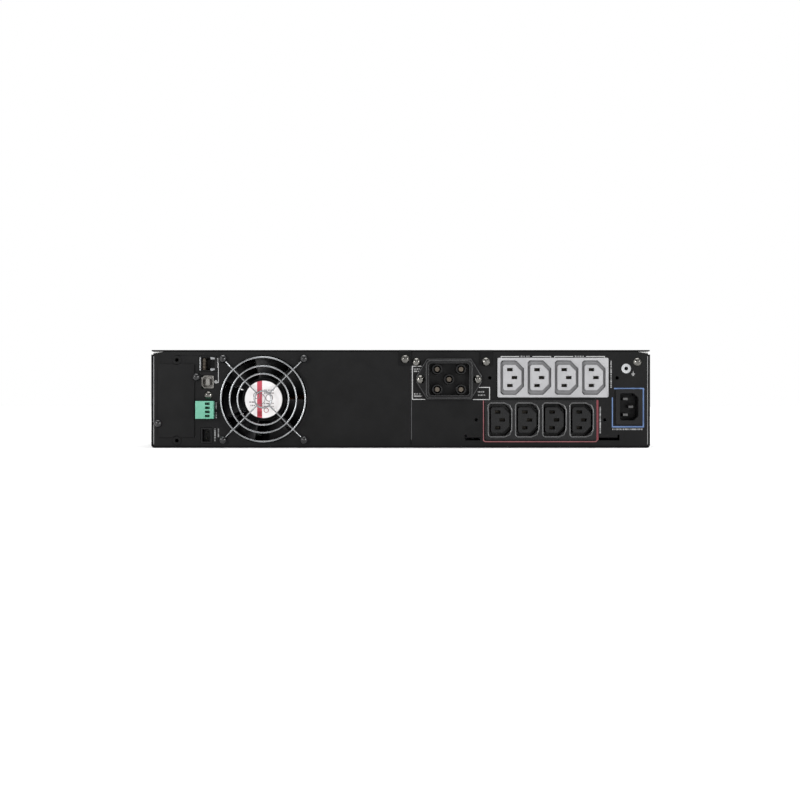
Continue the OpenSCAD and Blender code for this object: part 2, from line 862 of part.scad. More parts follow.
// Countersunk screws through the legs of both ears
module ear_screws() {
    color("silver") in_frame() for (side = [-1, 1]) ear_screw_places()
        translate([side * (body_w / 2 + ear_t - 0.1), 0, 0]) rotate([0, side * -90, 0])
        difference() {
            union() {
                cylinder(r1 = 3.85, r2 = 1.95, h = 1.9);
                cylinder(r = 1.95, h = ear_t + sheet + 1.5);
            }
            for (a = [0, 90]) rotate([0, 0, a]) cube([4, 0.9, 2], center = true);
        }
}

// ---- Front ----

module front_bezel() {
    half = body_w / 2 - edge_gap;
    height = body_h - 0.8;
    lug_d = hinge_d - 4;
    disp = [display_w + 2 * move_gap, display_h + move_gap + 1.8];
    color("#1d1d1f") in_frame() difference() {
        union() {
            difference() {
                along_depth(body_d, front)
                    round_rect([0, body_h / 2], [2 * half, height], 4);
                along_depth(body_d - 1, front - moulded)
                    round_rect([0, body_h / 2], [2 * half, height] - 2 * [moulded, moulded],
                        2);
            }
            // Walls beside the battery window, and the two display lugs
            block([window_lo - moulded, body_d, 2], [window_lo, front, body_h - 2]);
            for (sx = [-1, 1])
                translate([display_c[0] + sx * (display_w / 2 + move_gap + 3.5),
                    (lug_d + front) / 2 - 1, hinge_z])
                    cube([5, front - lug_d - 2, 12], center = true);
        }
        along_depth(body_d - 1, front + 1) {
            translate([0, (window_bottom + window_top) / 2]) panel_rect(
                [(window_lo + window_hi) / 2, 0],
                [window_hi - window_lo, window_top - window_bottom]);
            panel_rect([display_c[0], display_c[1] - 0.9 + move_gap / 2], disp);
            translate(button_c) circle(button_r + move_gap);
            for (i = [0:led_count - 1]) translate(led_place(i)) circle(led_r + 0.1);
            for (i = [-5:5]) panel_rect([left + 40, body_h / 2 + i * louvre_pitch],
                [56, louvre_gap]);
        }
        translate([display_c[0], hinge_d, hinge_z]) rotate([0, 90, 0])
            cylinder(r = hinge_pin_r + pin_gap, h = display_w + 14, center = true);
    }
}

function led_place(i) = [button_c[0], button_c[1] + 16 + (i - 1) * led_pitch];

module status_leds() {
    color("#5fd07a") in_frame() for (i = [0:led_count - 1])
        rod(led_place(i), led_r, front - 8, front - 0.2);
}

module power_button() {
    color("#3a3a3d") in_frame() {
        rod(button_c, button_r, front - 6, front - 0.3);
        rod(button_c, button_r + 1.4, front - moulded - 3.5, front - moulded - 0.4);
    }
}

module battery_door() {
    lo = [window_lo + move_gap, window_bottom + move_gap];
    hi = [window_hi - move_gap, window_top - move_gap];
    mid = (lo + hi) / 2;
    size = hi - lo;
    rim = 2;
    color("#1d1d1f") in_frame() difference() {
        union() {
            along_depth(front - moulded, front) panel_rect(mid, size);
            along_depth(front - 11, front - moulded) difference() {
                panel_rect(mid, size);
                panel_rect(mid, size - 2 * [rim, rim]);
            }
        }
        // Louvres either side of a plain grip
        along_depth(front - moulded - 1, front + 1) for (sx = [-1, 1], i = [-5:5])
            panel_rect(mid + [sx * size[0] * 0.27, i * louvre_pitch],
                [size[0] * 0.36, louvre_gap]);
        // Finger slot
        along_depth(front - moulded - 1, front + 1) panel_rect(mid - [0, 22], [26, 9]);
    }
}

module display_housing() {
    inner = [display_w - 4, display_h - 4];
    top = display_c[1] + display_h / 2;
    bottom = display_c[1] - display_h / 2;
    back = display_face - display_t;
    color("#242427") in_frame() difference() {
        union() {
            block([display_c[0] - display_w / 2, back, bottom],
                [display_c[0] + display_w / 2, display_face, top - hinge_r]);
            block([display_c[0] - display_w / 2, back, bottom],
                [display_c[0] + display_w / 2, hinge_d, top]);
            translate([display_c[0], hinge_d, hinge_z]) rotate([0, 90, 0])
                cylinder(r = hinge_r, h = display_w, center = true);
        }
        block([display_c[0] - inner[0] / 2, back - 1, bottom + 2],
            [display_c[0] + inner[0] / 2, display_face - 3, top - 2 * hinge_r]);
        along_depth(display_face - 1.2, display_face + 1)
            panel_rect([display_c[0], lens_z], lens_size);
        along_depth(display_face - 4, display_face + 1) for (k = [-1:1])
            panel_rect([display_c[0] + k * key_pitch, key_z],
                key_size + 2 * [move_gap, move_gap]);
        translate([display_c[0], hinge_d, hinge_z]) rotate([0, 90, 0])
            cylinder(r = hinge_pin_r, h = display_w + 2, center = true);
    }
}

module display_lens() {
    color("#2f4a66") in_frame() along_depth(display_face - 1.2, display_face)
        panel_rect([display_c[0], lens_z], lens_size);
}

module display_hinge_pins() {
    color("silver") in_frame() translate([display_c[0], hinge_d, hinge_z])
        rotate([0, 90, 0])
        cylinder(r = hinge_pin_r, h = display_w + 2 * hinge_pin_l, center = true);
}

// A key of the display: a cap in its slot with a wider foot behind the wall
module key(k) {
    c = [display_c[0] + k * key_pitch, key_z];
    color("#4a4a4e") in_frame() {
        along_depth(display_face - 5, display_face + key_proud) panel_rect(c, key_size);
        along_depth(display_face - 5.5, display_face - 3.4)
            panel_rect(c, key_size + [3, 2.4]);
    }
}

module key_up() {
    key(-1);
}

module key_down() {
    key(0);
}

module key_enter() {
    key(1);
}

// ---- Battery pack ----

module battery_tray() {
    color("#9a9da1") in_frame() difference() {
        union() {
            block([tray_lo, tray_back, tray_z], [tray_hi, tray_front, tray_z + sheet]);
            block([tray_lo, tray_back, tray_z], [tray_lo + sheet, tray_front, tray_wall_h]);
            block([tray_hi - sheet, tray_back, tray_z], [tray_hi, tray_front, tray_wall_h]);
            block([tray_lo, tray_back, tray_z], [tray_hi, tray_back + sheet, tray_wall_h]);
            block([tray_lo, tray_front - sheet, tray_z],
                [tray_hi, tray_front, pack_z + battery_t]);
        }
        for (sx = [-1, 1])
            rod([(tray_lo + tray_hi) / 2 + sx * handle_span / 2, pack_z + battery_t / 2],
                handle_r - 0.8, tray_front - 2 * sheet, tray_front + 1);
    }
}

// A bent round bar: two legs and a grip
module battery_tray_handle() {
    mid = (tray_lo + tray_hi) / 2;
    z = pack_z + battery_t / 2;
    color("#1a1a1a") in_frame() {
        for (sx = [-1, 1]) {
            rod([mid + sx * handle_span / 2, z], handle_r - 0.8, tray_front - sheet,
                tray_front);
            rod([mid + sx * handle_span / 2, z], handle_r, tray_front,
                tray_front + handle_reach - handle_r);
            translate([mid + sx * handle_span / 2, tray_front + handle_reach - handle_r, z])
                sphere(r = handle_r);
        }
        translate([mid, tray_front + handle_reach - handle_r, z]) rotate([0, 90, 0])
            cylinder(r = handle_r, h = handle_span, center = true);
    }
}

// Low corner of each battery: two across, two deep, lids facing the middle
function battery_x(i) = i == 0 ? tray_lo + sheet + battery_play
    : tray_hi - sheet - battery_play - battery_h;
function battery_y(j) = tray_front - sheet - (j + 1) * (battery_l + battery_play);

module battery_places() {
    for (i = [0, 1], j = [0, 1]) translate([battery_x(i) + battery_h / 2, battery_y(j), pack_z])
        mirror([i, 0, 0]) children();
}

module batteries() {
    lid = 7;
    color("#3b3d42") in_frame() battery_places() difference() {
        union() {
            block([-battery_h / 2, 0, 0], [battery_h / 2 - lid, battery_l, battery_t]);
            block([battery_h / 2 - lid, 1, 1], [battery_h / 2, battery_l - 1, battery_t - 1]);
        }
        for (y = [blade_inset, battery_l - blade_inset])
            block([battery_h / 2 - 3, y - 7, battery_t - 16],
                [battery_h / 2 + 1, y + 7, battery_t + 1]);
    }
}

module battery_terminals() {
    color("#c8a24a") in_frame() battery_places() for (y = [blade_inset, battery_l - blade_inset])
        block([battery_h / 2 - 3, y - blade_w / 2, battery_t - blade_drop - 1],
            [battery_h / 2 + 5, y + blade_w / 2, battery_t - blade_drop]);
}

// Short links across the gap and along it, above the blades
module battery_leads() {
    mid = (tray_lo + tray_hi) / 2;
    z = pack_z + battery_t - blade_drop + lead_r;
    color("#b02020") in_frame() {
        for (j = [0, 1])
            translate([mid, battery_y(j) + battery_l - blade_inset, z]) rotate([0, 90, 0])
            cylinder(r = lead_r, h = terminal_gap - 6, center = true);
        translate([mid - 3, tray_back + 10, z]) rotate([-90, 0, 0])
            cylinder(r = lead_r, h = battery_y(1) + blade_inset - tray_back - 10);
        translate([mid + 3, tray_back + 10, z]) rotate([-90, 0, 0])
            cylinder(r = lead_r, h = battery_y(1) + blade_inset - tray_back - 10);
    }
}

// ---- Electronics ----

module main_board() {
    color("#1f5a38") in_frame()
        block([board_lo, board_back, board_z], [board_hi, board_front, deck]);
}

module board_standoffs() {
    color("#c8a24a") in_frame()
        for (x = [board_lo + 8, (board_lo + board_hi) / 2, board_hi - 20],
             y = [board_back + 8, (board_back + board_front) / 2, board_front - 8])
            translate([x, y, sheet]) cylinder(r = 3.4, h = board_z - sheet, $fn = 6);
}

// Finned bars that lie along the air flow
module heatsinks() {
    fins = floor((sink_h - 4) / 6);
    color("#a9adb2") in_frame() for (x = sink_x)
        along_depth(sink_d[0], sink_d[1]) {
            translate([x, deck]) square([4, sink_h]);
            for (i = [0:fins]) translate([x - 24, deck + 2 + i * 6]) square([24.5, 1.6]);
        }
}

module power_transistors() {
    step = (sink_d[1] - sink_d[0]) / transistor_count;
    color("#151515") in_frame() for (x = sink_x, i = [0:transistor_count - 1]) {
        y = sink_d[0] + (i + 0.5) * step;
        block([x + 4, y - 8, deck + 10], [x + 9, y + 8, deck + 31]);
        for (k = [-1:1]) block([x + 6, y + k * 5.4 - 0.6, deck],
            [x + 6.7, y + k * 5.4 + 0.6, deck + 10]);
    }
}

module transformer_core() {
    c = transformer_c;
    color("#5a5c60") in_frame() difference() {
        block([c[0] - core_w / 2, c[1] - core_d / 2, deck],
            [c[0] + core_w / 2, c[1] + core_d / 2, deck + core_h]);
        for (sx = [-1, 1]) translate([c[0] + sx * core_w / 4, c[1], deck + core_h / 2])
            cube([core_w / 2 - core_leg, core_d + 2, core_h - core_leg], center = true);
    }
}

module transformer_winding() {
    c = transformer_c;
    gap = 0.4;
    leg = core_leg / 2 + gap;
    reach = core_w / 2 - core_leg / 2 - gap;
    h = core_h - core_leg - 2 * gap;
    color("#b56a3a") in_frame() difference() {
        translate([c[0], c[1], deck + core_h / 2])
            cube([2 * reach, core_d + 2 * (reach - leg), h], center = true);
        translate([c[0], c[1], deck + core_h / 2])
            cube([2 * leg, core_d + 2 * gap, h + 2], center = true);
    }
}

module bulk_capacitors() {
    r = 15;
    h = min(48, body_h - deck - 16);
    color("#22305a") in_frame() for (i = [0:3])
        translate([board_hi - 24, board_back + 30 + i * 34, deck]) {
            cylinder(r = r, h = h - 1.5);
            cylinder(r = r - 1.5, h = h);
        }
}

chassis_tray();
top_cover();
rear_panel();
rear_power_panel();
card_slot_cover();
card_slot_screws();
fan_frame();
fan_rotor();
fan_shaft();
fan_bearing();
fan_label();
fan_guard();
fan_screws();
network_jack();
usb_shell();
usb_tongue();
terminal_header();
terminal_plug();
terminal_clamp_screws();
detection_jack();
detection_pins();
battery_socket();
battery_socket_pins();
battery_socket_screws();
outlet_block_grey();
outlet_block_black();
outlet_contacts();
inlet_housing();
inlet_pins();
ground_terminal();
panel_screws();
clinch_nuts();
front_plate();
front_bezel();
battery_door();
rack_ear_left();
rack_ear_right();
ear_screws();
battery_tray();
battery_tray_handle();
batteries();
battery_terminals();
battery_leads();
divider_wall();
main_board();
board_standoffs();
heatsinks();
power_transistors();
transformer_core();
transformer_winding();
bulk_capacitors();
comm_board();
display_housing();
display_lens();
display_hinge_pins();
key_up();
key_down();
key_enter();
power_button();
status_leds();
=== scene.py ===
# %% [markdown]
# # A rackmount uninterruptible power supply
# The object is a steel box two rack units high. Its rear carries a guarded fan, signal ports, a
# battery socket, two blocks of outlets and the power inlet. Its front is a moulded bezel with a
# battery door and a tilting display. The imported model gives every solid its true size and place,
# so this lesson adds only what a solid model lacks: soft edges, finishes, printing and fine parts.

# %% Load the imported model
import json
import math
import random

import bmesh
import bpy
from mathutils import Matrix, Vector


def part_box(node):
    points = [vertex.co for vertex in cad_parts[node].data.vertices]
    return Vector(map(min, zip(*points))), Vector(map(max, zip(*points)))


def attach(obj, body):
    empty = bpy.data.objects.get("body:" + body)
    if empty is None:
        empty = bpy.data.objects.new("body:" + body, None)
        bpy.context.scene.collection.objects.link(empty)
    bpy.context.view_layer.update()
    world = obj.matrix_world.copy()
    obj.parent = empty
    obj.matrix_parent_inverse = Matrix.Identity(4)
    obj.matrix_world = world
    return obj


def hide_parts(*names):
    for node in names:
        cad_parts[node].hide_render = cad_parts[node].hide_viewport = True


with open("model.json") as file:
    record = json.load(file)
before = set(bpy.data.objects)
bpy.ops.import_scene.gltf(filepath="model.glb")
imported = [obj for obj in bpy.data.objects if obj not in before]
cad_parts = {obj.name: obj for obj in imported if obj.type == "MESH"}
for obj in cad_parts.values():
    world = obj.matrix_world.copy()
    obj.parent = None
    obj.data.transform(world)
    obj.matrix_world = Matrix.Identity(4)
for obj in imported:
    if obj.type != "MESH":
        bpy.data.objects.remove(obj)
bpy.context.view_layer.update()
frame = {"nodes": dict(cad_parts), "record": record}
nodes = frame["nodes"]
MM = 0.001

# %% [markdown]
# The record names the finish slot of each node and the body that it rides on. Reading both here
# means that a new piece only has to name the node that it stands for or sits on.

# %% Look up slots and bodies
slot_of = {part["node"]: part["material_slot"] for part in frame["record"]["subparts"]}
body_of = {
    node: body for body, members in frame["record"]["behaviour"]["bodies"].items() for node in members
}

# %% [markdown]
# ## Camera and light
# The view is straight onto the rear panel, a little over a metre away, so the side walls fall
# away out of sight behind the panel. The lens follows from the width that the frame should take
# in at the panel.

# %% Place the camera
VIEW_WIDTH = 707 * MM
VIEW_DISTANCE = 1200 * MM
SENSOR = 36

rear_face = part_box("rear_power_panel")[0].y
camera = bpy.data.objects.new("camera", bpy.data.cameras.new("camera"))
bpy.context.collection.objects.link(camera)
camera.data.sensor_width = SENSOR
camera.data.lens = SENSOR * VIEW_DISTANCE / VIEW_WIDTH
camera.data.clip_start = 0.05
camera.location = (-0.6 * MM, rear_face - VIEW_DISTANCE, 42.3 * MM)
camera.rotation_euler = (math.radians(90), 0, 0)
bpy.context.scene.camera = camera
print("lens", round(camera.data.lens, 1), "mm")

# %% [markdown]
# Two large lamps, left and right, put the pair of glints on every domed screw, a third lights the
# front, and an even light from straight above keeps the floor white out to the horizon. The room
# is white except for a dim patch high up behind the camera, which gives the metal its contrast.

# %% Hang the lamps
def area_lamp(name, place, aim, size, power):
    lamp = bpy.data.objects.new(name, bpy.data.lights.new(name, "AREA"))
    lamp.data.shape = "RECTANGLE"
    lamp.data.size, lamp.data.size_y = size
    lamp.data.energy = power
    lamp.location = place
    lamp.rotation_euler = (Vector(aim) - Vector(place)).to_track_quat("-Z", "Y").to_euler()
    bpy.context.collection.objects.link(lamp)


SIDE_LAMP = (0.4, 0.7)
for name, x, power in (("lamp_left", -1.3, 13), ("lamp_right", 1.3, 11)):
    area_lamp(name, (x, rear_face - 1.1, 0.45), (0, rear_face, 0.04), SIDE_LAMP, power)
area_lamp("lamp_front", (0.6, 1.9, 0.8), (0, 0.2, 0.04), (1.2, 0.9), 14)
overhead = bpy.data.objects.new("overhead", bpy.data.lights.new("overhead", "SUN"))
overhead.data.energy = 1.7
overhead.data.angle = math.radians(50)
overhead.location = (0, 0, 3)
bpy.context.collection.objects.link(overhead)

world = bpy.data.worlds.new("studio")
bpy.context.scene.world = world
world.use_nodes = True
sky = world.node_tree
way = sky.nodes.new("ShaderNodeTexCoord")
axes = sky.nodes.new("ShaderNodeSeparateXYZ")
sky.links.new(way.outputs["Generated"], axes.inputs["Vector"])
shade = []
for axis, start, end in (("Y", 0.2, -0.7), ("Z", 0.06, 0.25)):
    fade = sky.nodes.new("ShaderNodeMapRange")
    fade.inputs["From Min"].default_value = start
    fade.inputs["From Max"].default_value = end
    sky.links.new(axes.outputs[axis], fade.inputs["Value"])
    shade.append(fade.outputs["Result"])
both = sky.nodes.new("ShaderNodeMath")
both.operation = "MULTIPLY"
for socket, value in zip(both.inputs, shade):
    sky.links.new(value, socket)
dim = sky.nodes.new("ShaderNodeMapRange")
dim.inputs["To Min"].default_value = 1.0
dim.inputs["To Max"].default_value = 0.2
sky.links.new(both.outputs["Value"], dim.inputs["Value"])
sky.links.new(dim.outputs["Result"], sky.nodes["Background"].inputs["Color"])
bpy.context.scene.view_settings.view_transform = "Standard"

# %% [markdown]
# ## Finishes
# Every finish is a Principled shader with three layers: a colour that drifts a little, a
# roughness that isn't even, and a bump at the scale of the real surface. The layers read Object
# coordinates, so the pattern is in real metres and stays on the piece when it moves.

# %% Shader helpers
def shader_of(material):
    return material.node_tree.nodes["Principled BSDF"]


def connect(material, output, name):
    """Link an output to an input of the Principled shader."""
    material.node_tree.links.new(output, shader_of(material).inputs[name])


def finish(name, rough, metal=0.0, specular=0.5, coat=0.0):
    """A new Principled material, with the values that are the same all over set on its sockets."""
    material = bpy.data.materials.new(name)
    material.use_nodes = True
    for key, value in (("Roughness", rough), ("Metallic", metal), ("Specular IOR Level", specular),
                       ("Coat Weight", coat)):
        shader_of(material).inputs[key].default_value = value
    print("finish", name)
    return material


def node(material, kind, **inputs):
    """Add one node and set its inputs by name; a socket as value is linked."""
    made = material.node_tree.nodes.new(kind)
    for key, value in inputs.items():
        socket = made.inputs[key.replace("_", " ")]
        if isinstance(value, bpy.types.NodeSocket):
            material.node_tree.links.new(value, socket)
        else:
            socket.default_value = value
    return made


def place(material, stretch=(1, 1, 1)):
    """Object coordinates in metres, stretched for brushed or layered patterns."""
    coords = material.node_tree.nodes.new("ShaderNodeTexCoord")
    mapping = node(material, "ShaderNodeMapping", Vector=coords.outputs["Object"])
    mapping.inputs["Scale"].default_value = stretch
    return mapping.outputs["Vector"]


def blend_colours(material, factor, stops):
    """Turn a factor into colour through a ramp; stops are (position, colour)."""
    ramp = node(material, "ShaderNodeValToRGB", Fac=factor)
    for i, (at, colour) in enumerate(stops):
        element = ramp.color_ramp.elements[i] if i < 2 else ramp.color_ramp.elements.new(at)
        element.position = at
        element.color = (*colour, 1)
    return ramp.outputs["Color"]


def drift(material, dark, light, scale, detail=4.0, stretch=(1, 1, 1)):
    """Colour that wanders between two tones."""
    noise = node(material, "ShaderNodeTexNoise", Vector=place(material, stretch), Scale=scale,
                 Detail=detail, Roughness=0.6)
    connect(material, blend_colours(material, noise.outputs["Fac"],
                                    [(0.32, dark), (0.68, light)]), "Base Color")


def uneven(material, low, high, scale, stretch=(1, 1, 1)):
    """Roughness that varies between two values."""
    noise = node(material, "ShaderNodeTexNoise", Vector=place(material, stretch), Scale=scale,
                 Detail=3.0)
    spread = node(material, "ShaderNodeMapRange", Value=noise.outputs["Fac"], From_Min=0.35,
                  From_Max=0.65, To_Min=low, To_Max=high)
    connect(material, spread.outputs["Result"], "Roughness")


def bump(material, height, depth_mm):
    """Raise the surface by a texture's height."""
    relief = node(material, "ShaderNodeBump", Height=height, Strength=1.0, Distance=depth_mm * MM)
    connect(material, relief.outputs["Normal"], "Normal")


def grain(material, scale, depth_mm, stretch=(1, 1, 1), detail=2.0):
    """A fine random relief, such as powder coat or a textured mould."""
    noise = node(material, "ShaderNodeTexNoise", Vector=place(material, stretch), Scale=scale,
                 Detail=detail)
    bump(material, noise.outputs["Fac"], depth_mm)


print("helpers ready")

# %% [markdown]
# Powder coat is a baked polyester skin. Up close it is a fine orange peel, and from further away
# it is a dead, slightly uneven black. The peel is a noise about a millimetre across with very
# little height, and the sheen is kept low so that the white room doesn't turn it grey.

# %% Powder-coated steel
black_sheet = finish("powder_coat_black", 0.6, specular=0.12)
drift(black_sheet, (0.0035, 0.0035, 0.0038), (0.0055, 0.0055, 0.0058), 90, 6)
uneven(black_sheet, 0.57, 0.63, 240)
grain(black_sheet, 900, 0.05)

panel_coat = finish("powder_coat_panel", 0.6, specular=0.15)
drift(panel_coat, (0.005, 0.005, 0.0052), (0.008, 0.008, 0.0083), 60, 7)
uneven(panel_coat, 0.55, 0.66, 240)
grain(panel_coat, 1300, 0.06)

# %% [markdown]
# Hidden sheet parts are left in galvanised steel, whose zinc freezes in crystals called spangle.
# A Voronoi pattern stands for the crystals: each cell has its own grey and its own gloss.

# %% Galvanised steel
zinc_sheet = finish("galvanised_steel", 0.4, metal=1.0)
cells = node(zinc_sheet, "ShaderNodeTexVoronoi", Vector=place(zinc_sheet), Scale=130.0)
tones = node(zinc_sheet, "ShaderNodeSeparateColor", Color=cells.outputs["Color"])
connect(zinc_sheet, blend_colours(zinc_sheet, tones.outputs["Red"], [
    (0.0, (0.42, 0.43, 0.45)), (1.0, (0.60, 0.61, 0.63))]), "Base Color")
uneven(zinc_sheet, 0.3, 0.5, 180)
grain(zinc_sheet, 500, 0.03)

# %% [markdown]
# Moulded parts differ mostly in how the mould was finished. A spark-eroded mould leaves a fine
# leather-like grain, so the bezel is matte. Outlet blocks come from a smoother mould and shine at
# their edges. One helper makes them all from two tones, a gloss range and a grain.

# %% Moulded plastics
def moulding(name, dark, light, gloss, peel_mm, scale=1500, specular=0.45, coat=0.0):
    material = finish(name, gloss[1], specular=specular, coat=coat)
    drift(material, dark, light, 40, 5)
    uneven(material, gloss[0], gloss[1], 120)
    grain(material, scale, peel_mm)
    return material


black_plastic = moulding("moulded_black", (0.004, 0.004, 0.0045), (0.008, 0.008, 0.0085),
                         (0.34, 0.5), 0.03, specular=0.24)
socket_plastic = moulding("outlet_black", (0.004, 0.004, 0.0045), (0.008, 0.008, 0.0085),
                          (0.24, 0.36), 0.02, 900, 0.28)
# The rims' lighter grey is a painted highlight; their gloss is real.
rim_painted_highlight = moulding("outlet_rim_gloss_painted_highlight", (0.018, 0.018, 0.019), (0.034, 0.034, 0.036),
                       (0.14, 0.22), 0.02, 500, 0.9, 0.5)
# A lighter black than the socket: a painted highlight along the socket's rim.
bead_painted_highlight = moulding("socket_bead_gloss_painted_highlight", (0.012, 0.012, 0.013), (0.022, 0.022, 0.023),
                        (0.2, 0.3), 0.02, 600, 0.55, 0.15)
# Darker than the block's grey: painted shade for the step inside each groove.
groove_painted_shade = moulding("groove_painted_shade", (0.15, 0.15, 0.155), (0.20, 0.20, 0.207), (0.4, 0.55), 0.03)
grey_plastic = moulding("outlet_grey", (0.33, 0.33, 0.34), (0.40, 0.40, 0.41), (0.32, 0.48), 0.03)
dark_moulding = moulding("bezel_grain", (0.014, 0.014, 0.015), (0.022, 0.022, 0.024),
                         (0.5, 0.66), 0.07, 1100, 0.4)
key_plastic = moulding("key_grey", (0.075, 0.077, 0.082), (0.10, 0.102, 0.108), (0.38, 0.52), 0.03)
green_plastic = moulding("terminal_green", (0.09, 0.31, 0.21), (0.14, 0.39, 0.28),
                         (0.34, 0.5), 0.04)
white_plastic = moulding("tongue_grey", (0.16, 0.155, 0.145), (0.22, 0.215, 0.20), (0.3, 0.42), 0.02)
battery_case = moulding("battery_case", (0.030, 0.032, 0.038), (0.048, 0.050, 0.057),
                        (0.34, 0.5), 0.05, 700)
lead_red = moulding("lead_red", (0.36, 0.012, 0.012), (0.48, 0.022, 0.018), (0.3, 0.42), 0.03)
capacitor = moulding("capacitor_sleeve", (0.012, 0.018, 0.075), (0.022, 0.032, 0.12),
                     (0.18, 0.3), 0.02, 400, 0.5, 0.3)

# %% [markdown]
# Bright metal is all in its roughness. Plated screws are turned, so their streaks run round;
# drawn wire is streaked along its length and takes a nickel finish; contacts are rolled brass
# with a warm tarnish; a heatsink is extruded, so its lines run along the fins.

# %% Bright metals
def bright(name, dark, light, gloss, stretch=(1, 1, 1), scale=260, depth=0.02):
    material = finish(name, gloss[1], metal=1.0)
    drift(material, dark, light, 90, 5, stretch)
    uneven(material, gloss[0], gloss[1], scale, stretch)
    grain(material, scale * 4, depth, stretch)
    return material


silver_steel = bright("zinc_plated", (0.46, 0.47, 0.48), (0.66, 0.67, 0.68), (0.18, 0.34))
screw_nickel = bright("nickel_screw", (0.12, 0.117, 0.11), (0.22, 0.215, 0.20), (0.10, 0.18))
shell_tin = bright("tinned_shell", (0.22, 0.21, 0.20), (0.36, 0.35, 0.33), (0.24, 0.36))
wire_steel = bright("drawn_wire", (0.28, 0.29, 0.30), (0.42, 0.43, 0.44), (0.22, 0.32),
                    depth=0.003)
dull_pin = bright("tarnished_pin", (0.10, 0.085, 0.07), (0.19, 0.165, 0.135), (0.35, 0.5))
# Near-black metal: painted shade for contacts deep in their slots.
contact_painted_shade = bright("recessed_contact_painted_shade", (0.03, 0.027, 0.023), (0.06, 0.054, 0.045), (0.35, 0.5))
# Dark grey metal: painted shade for the inlet's pins in their cavity.
inlet_pin_painted_shade = bright("shadowed_pin", (0.09, 0.09, 0.09), (0.18, 0.18, 0.18), (0.14, 0.22))
brass = bright("rolled_brass", (0.40, 0.27, 0.11), (0.62, 0.45, 0.20), (0.26, 0.44), (1, 0.2, 1))
heatsink_metal = bright("extruded_aluminium", (0.50, 0.51, 0.53), (0.64, 0.65, 0.67),
                        (0.3, 0.46), (1, 0.03, 1), 700)
black_steel = finish("black_oxide", 0.3, specular=0.36, coat=0.5)
drift(black_steel, (0.004, 0.004, 0.005), (0.009, 0.009, 0.010), 200)
uneven(black_steel, 0.09, 0.15, 400)
grain(black_steel, 1600, 0.02)

# %% [markdown]
# The fan's hub sticker is paper with a red stripe, so its colour follows one coordinate. X is
# measured from the hub and sent through a ramp whose steps are hard: white, red, then white. A
# little noise added to the coordinate keeps the printed edge from looking ruled.

# %% Stickers, lights and boards
WOBBLE = 0.15


def striped_paper(name, across, centre, half_width, paper, ink):
    """Paper with one stripe, placed along one axis in metres."""
    material = finish(name, 0.5, specular=0.35)
    split = node(material, "ShaderNodeSeparateXYZ", Vector=place(material))
    noise = node(material, "ShaderNodeTexNoise", Vector=place(material), Scale=300.0)
    wobble = material.node_tree.nodes.new("ShaderNodeMath")
    wobble.operation = "MULTIPLY_ADD"
    wobble.inputs[1].default_value = WOBBLE * MM
    material.node_tree.links.new(noise.outputs["Fac"], wobble.inputs[0])
    material.node_tree.links.new(split.outputs[across], wobble.inputs[2])
    span_of = node(material, "ShaderNodeMapRange", Value=wobble.outputs["Value"],
                   From_Min=centre - 4 * half_width, From_Max=centre + 4 * half_width)
    ramp = material.node_tree.nodes.new("ShaderNodeValToRGB")
    ramp.color_ramp.interpolation = "CONSTANT"
    ramp.color_ramp.elements.new(0.625)
    for element, at, colour in zip(ramp.color_ramp.elements, (0, 0.375, 0.625),
                                   (paper, ink, paper)):
        element.position = at
        element.color = (*colour, 1)
    material.node_tree.links.new(span_of.outputs["Result"], ramp.inputs["Fac"])
    connect(material, ramp.outputs["Color"], "Base Color")
    uneven(material, 0.42, 0.58, 90)
    grain(material, 1500, 0.02)
    return material


fan_axis = (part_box("fan_shaft")[0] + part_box("fan_shaft")[1]) / 2
hub_label = striped_paper("hub_sticker", "X", fan_axis.x - 3.4 * MM, 2.2 * MM,
                          (0.78, 0.76, 0.76), (0.46, 0.06, 0.09))


def ink(name, dark, light):
    """Screen-printing ink is matte, whatever its colour."""
    return moulding(name, dark, light, (0.5, 0.65), 0.02)


print_white = ink("print_white", (0.42, 0.42, 0.42), (0.52, 0.52, 0.52))
print_soft = ink("print_small_type", (0.24, 0.24, 0.24), (0.34, 0.34, 0.34))
print_rose = ink("print_rose", (0.24, 0.075, 0.085), (0.32, 0.11, 0.12))
print_red = ink("print_red", (0.17, 0.028, 0.04), (0.24, 0.045, 0.055))
print_deep = ink("print_deep_red", (0.22, 0.006, 0.015), (0.32, 0.012, 0.03))
print_blue = ink("print_blue", (0.085, 0.15, 0.31), (0.12, 0.20, 0.39))
print_grey = ink("print_grey", (0.15, 0.13, 0.135), (0.26, 0.22, 0.23))
# Light grey painted highlight for the line of light along each fold of the panel.
fold_painted_highlight = moulding("fold_painted_highlight", (0.20, 0.20, 0.205), (0.32, 0.32, 0.325), (0.3, 0.42), 0.03)
# Grey painted highlight for light caught on the panel seam and along the socket's flange ridge.
edge_painted_highlight = moulding("edge_painted_highlight", (0.040, 0.040, 0.042), (0.075, 0.075, 0.078), (0.3, 0.45), 0.03)
nylon = moulding("nylon_pad", (0.78, 0.78, 0.77), (0.86, 0.86, 0.85), (0.4, 0.55), 0.03)
core_iron = bright("core_laminate", (0.16, 0.16, 0.17), (0.26, 0.26, 0.27), (0.4, 0.6),
                   (1, 1, 0.02), 900)

# %% [markdown]
# A display is a dark glass over a lit layer. A very smooth, slightly blue base under a clear coat
# reads as glass when it is off. The status lights glow a little, with a mottled green so that the
# frosted dome doesn't look painted.

# %% Glass, lights, boards and windings
lens_glass = moulding("display_glass", (0.010, 0.018, 0.040), (0.016, 0.028, 0.058),
                      (0.06, 0.14), 0.005, 300, 0.6, 0.5)
segment_ink = moulding("display_segment", (0.30, 0.46, 0.62), (0.40, 0.58, 0.74),
                       (0.3, 0.45), 0.01)
led_dome = moulding("led_green", (0.05, 0.42, 0.12), (0.12, 0.60, 0.20), (0.15, 0.3), 0.02)
shader_of(led_dome).inputs["Emission Color"].default_value = (0.10, 0.80, 0.25, 1)
shader_of(led_dome).inputs["Emission Strength"].default_value = 0.5

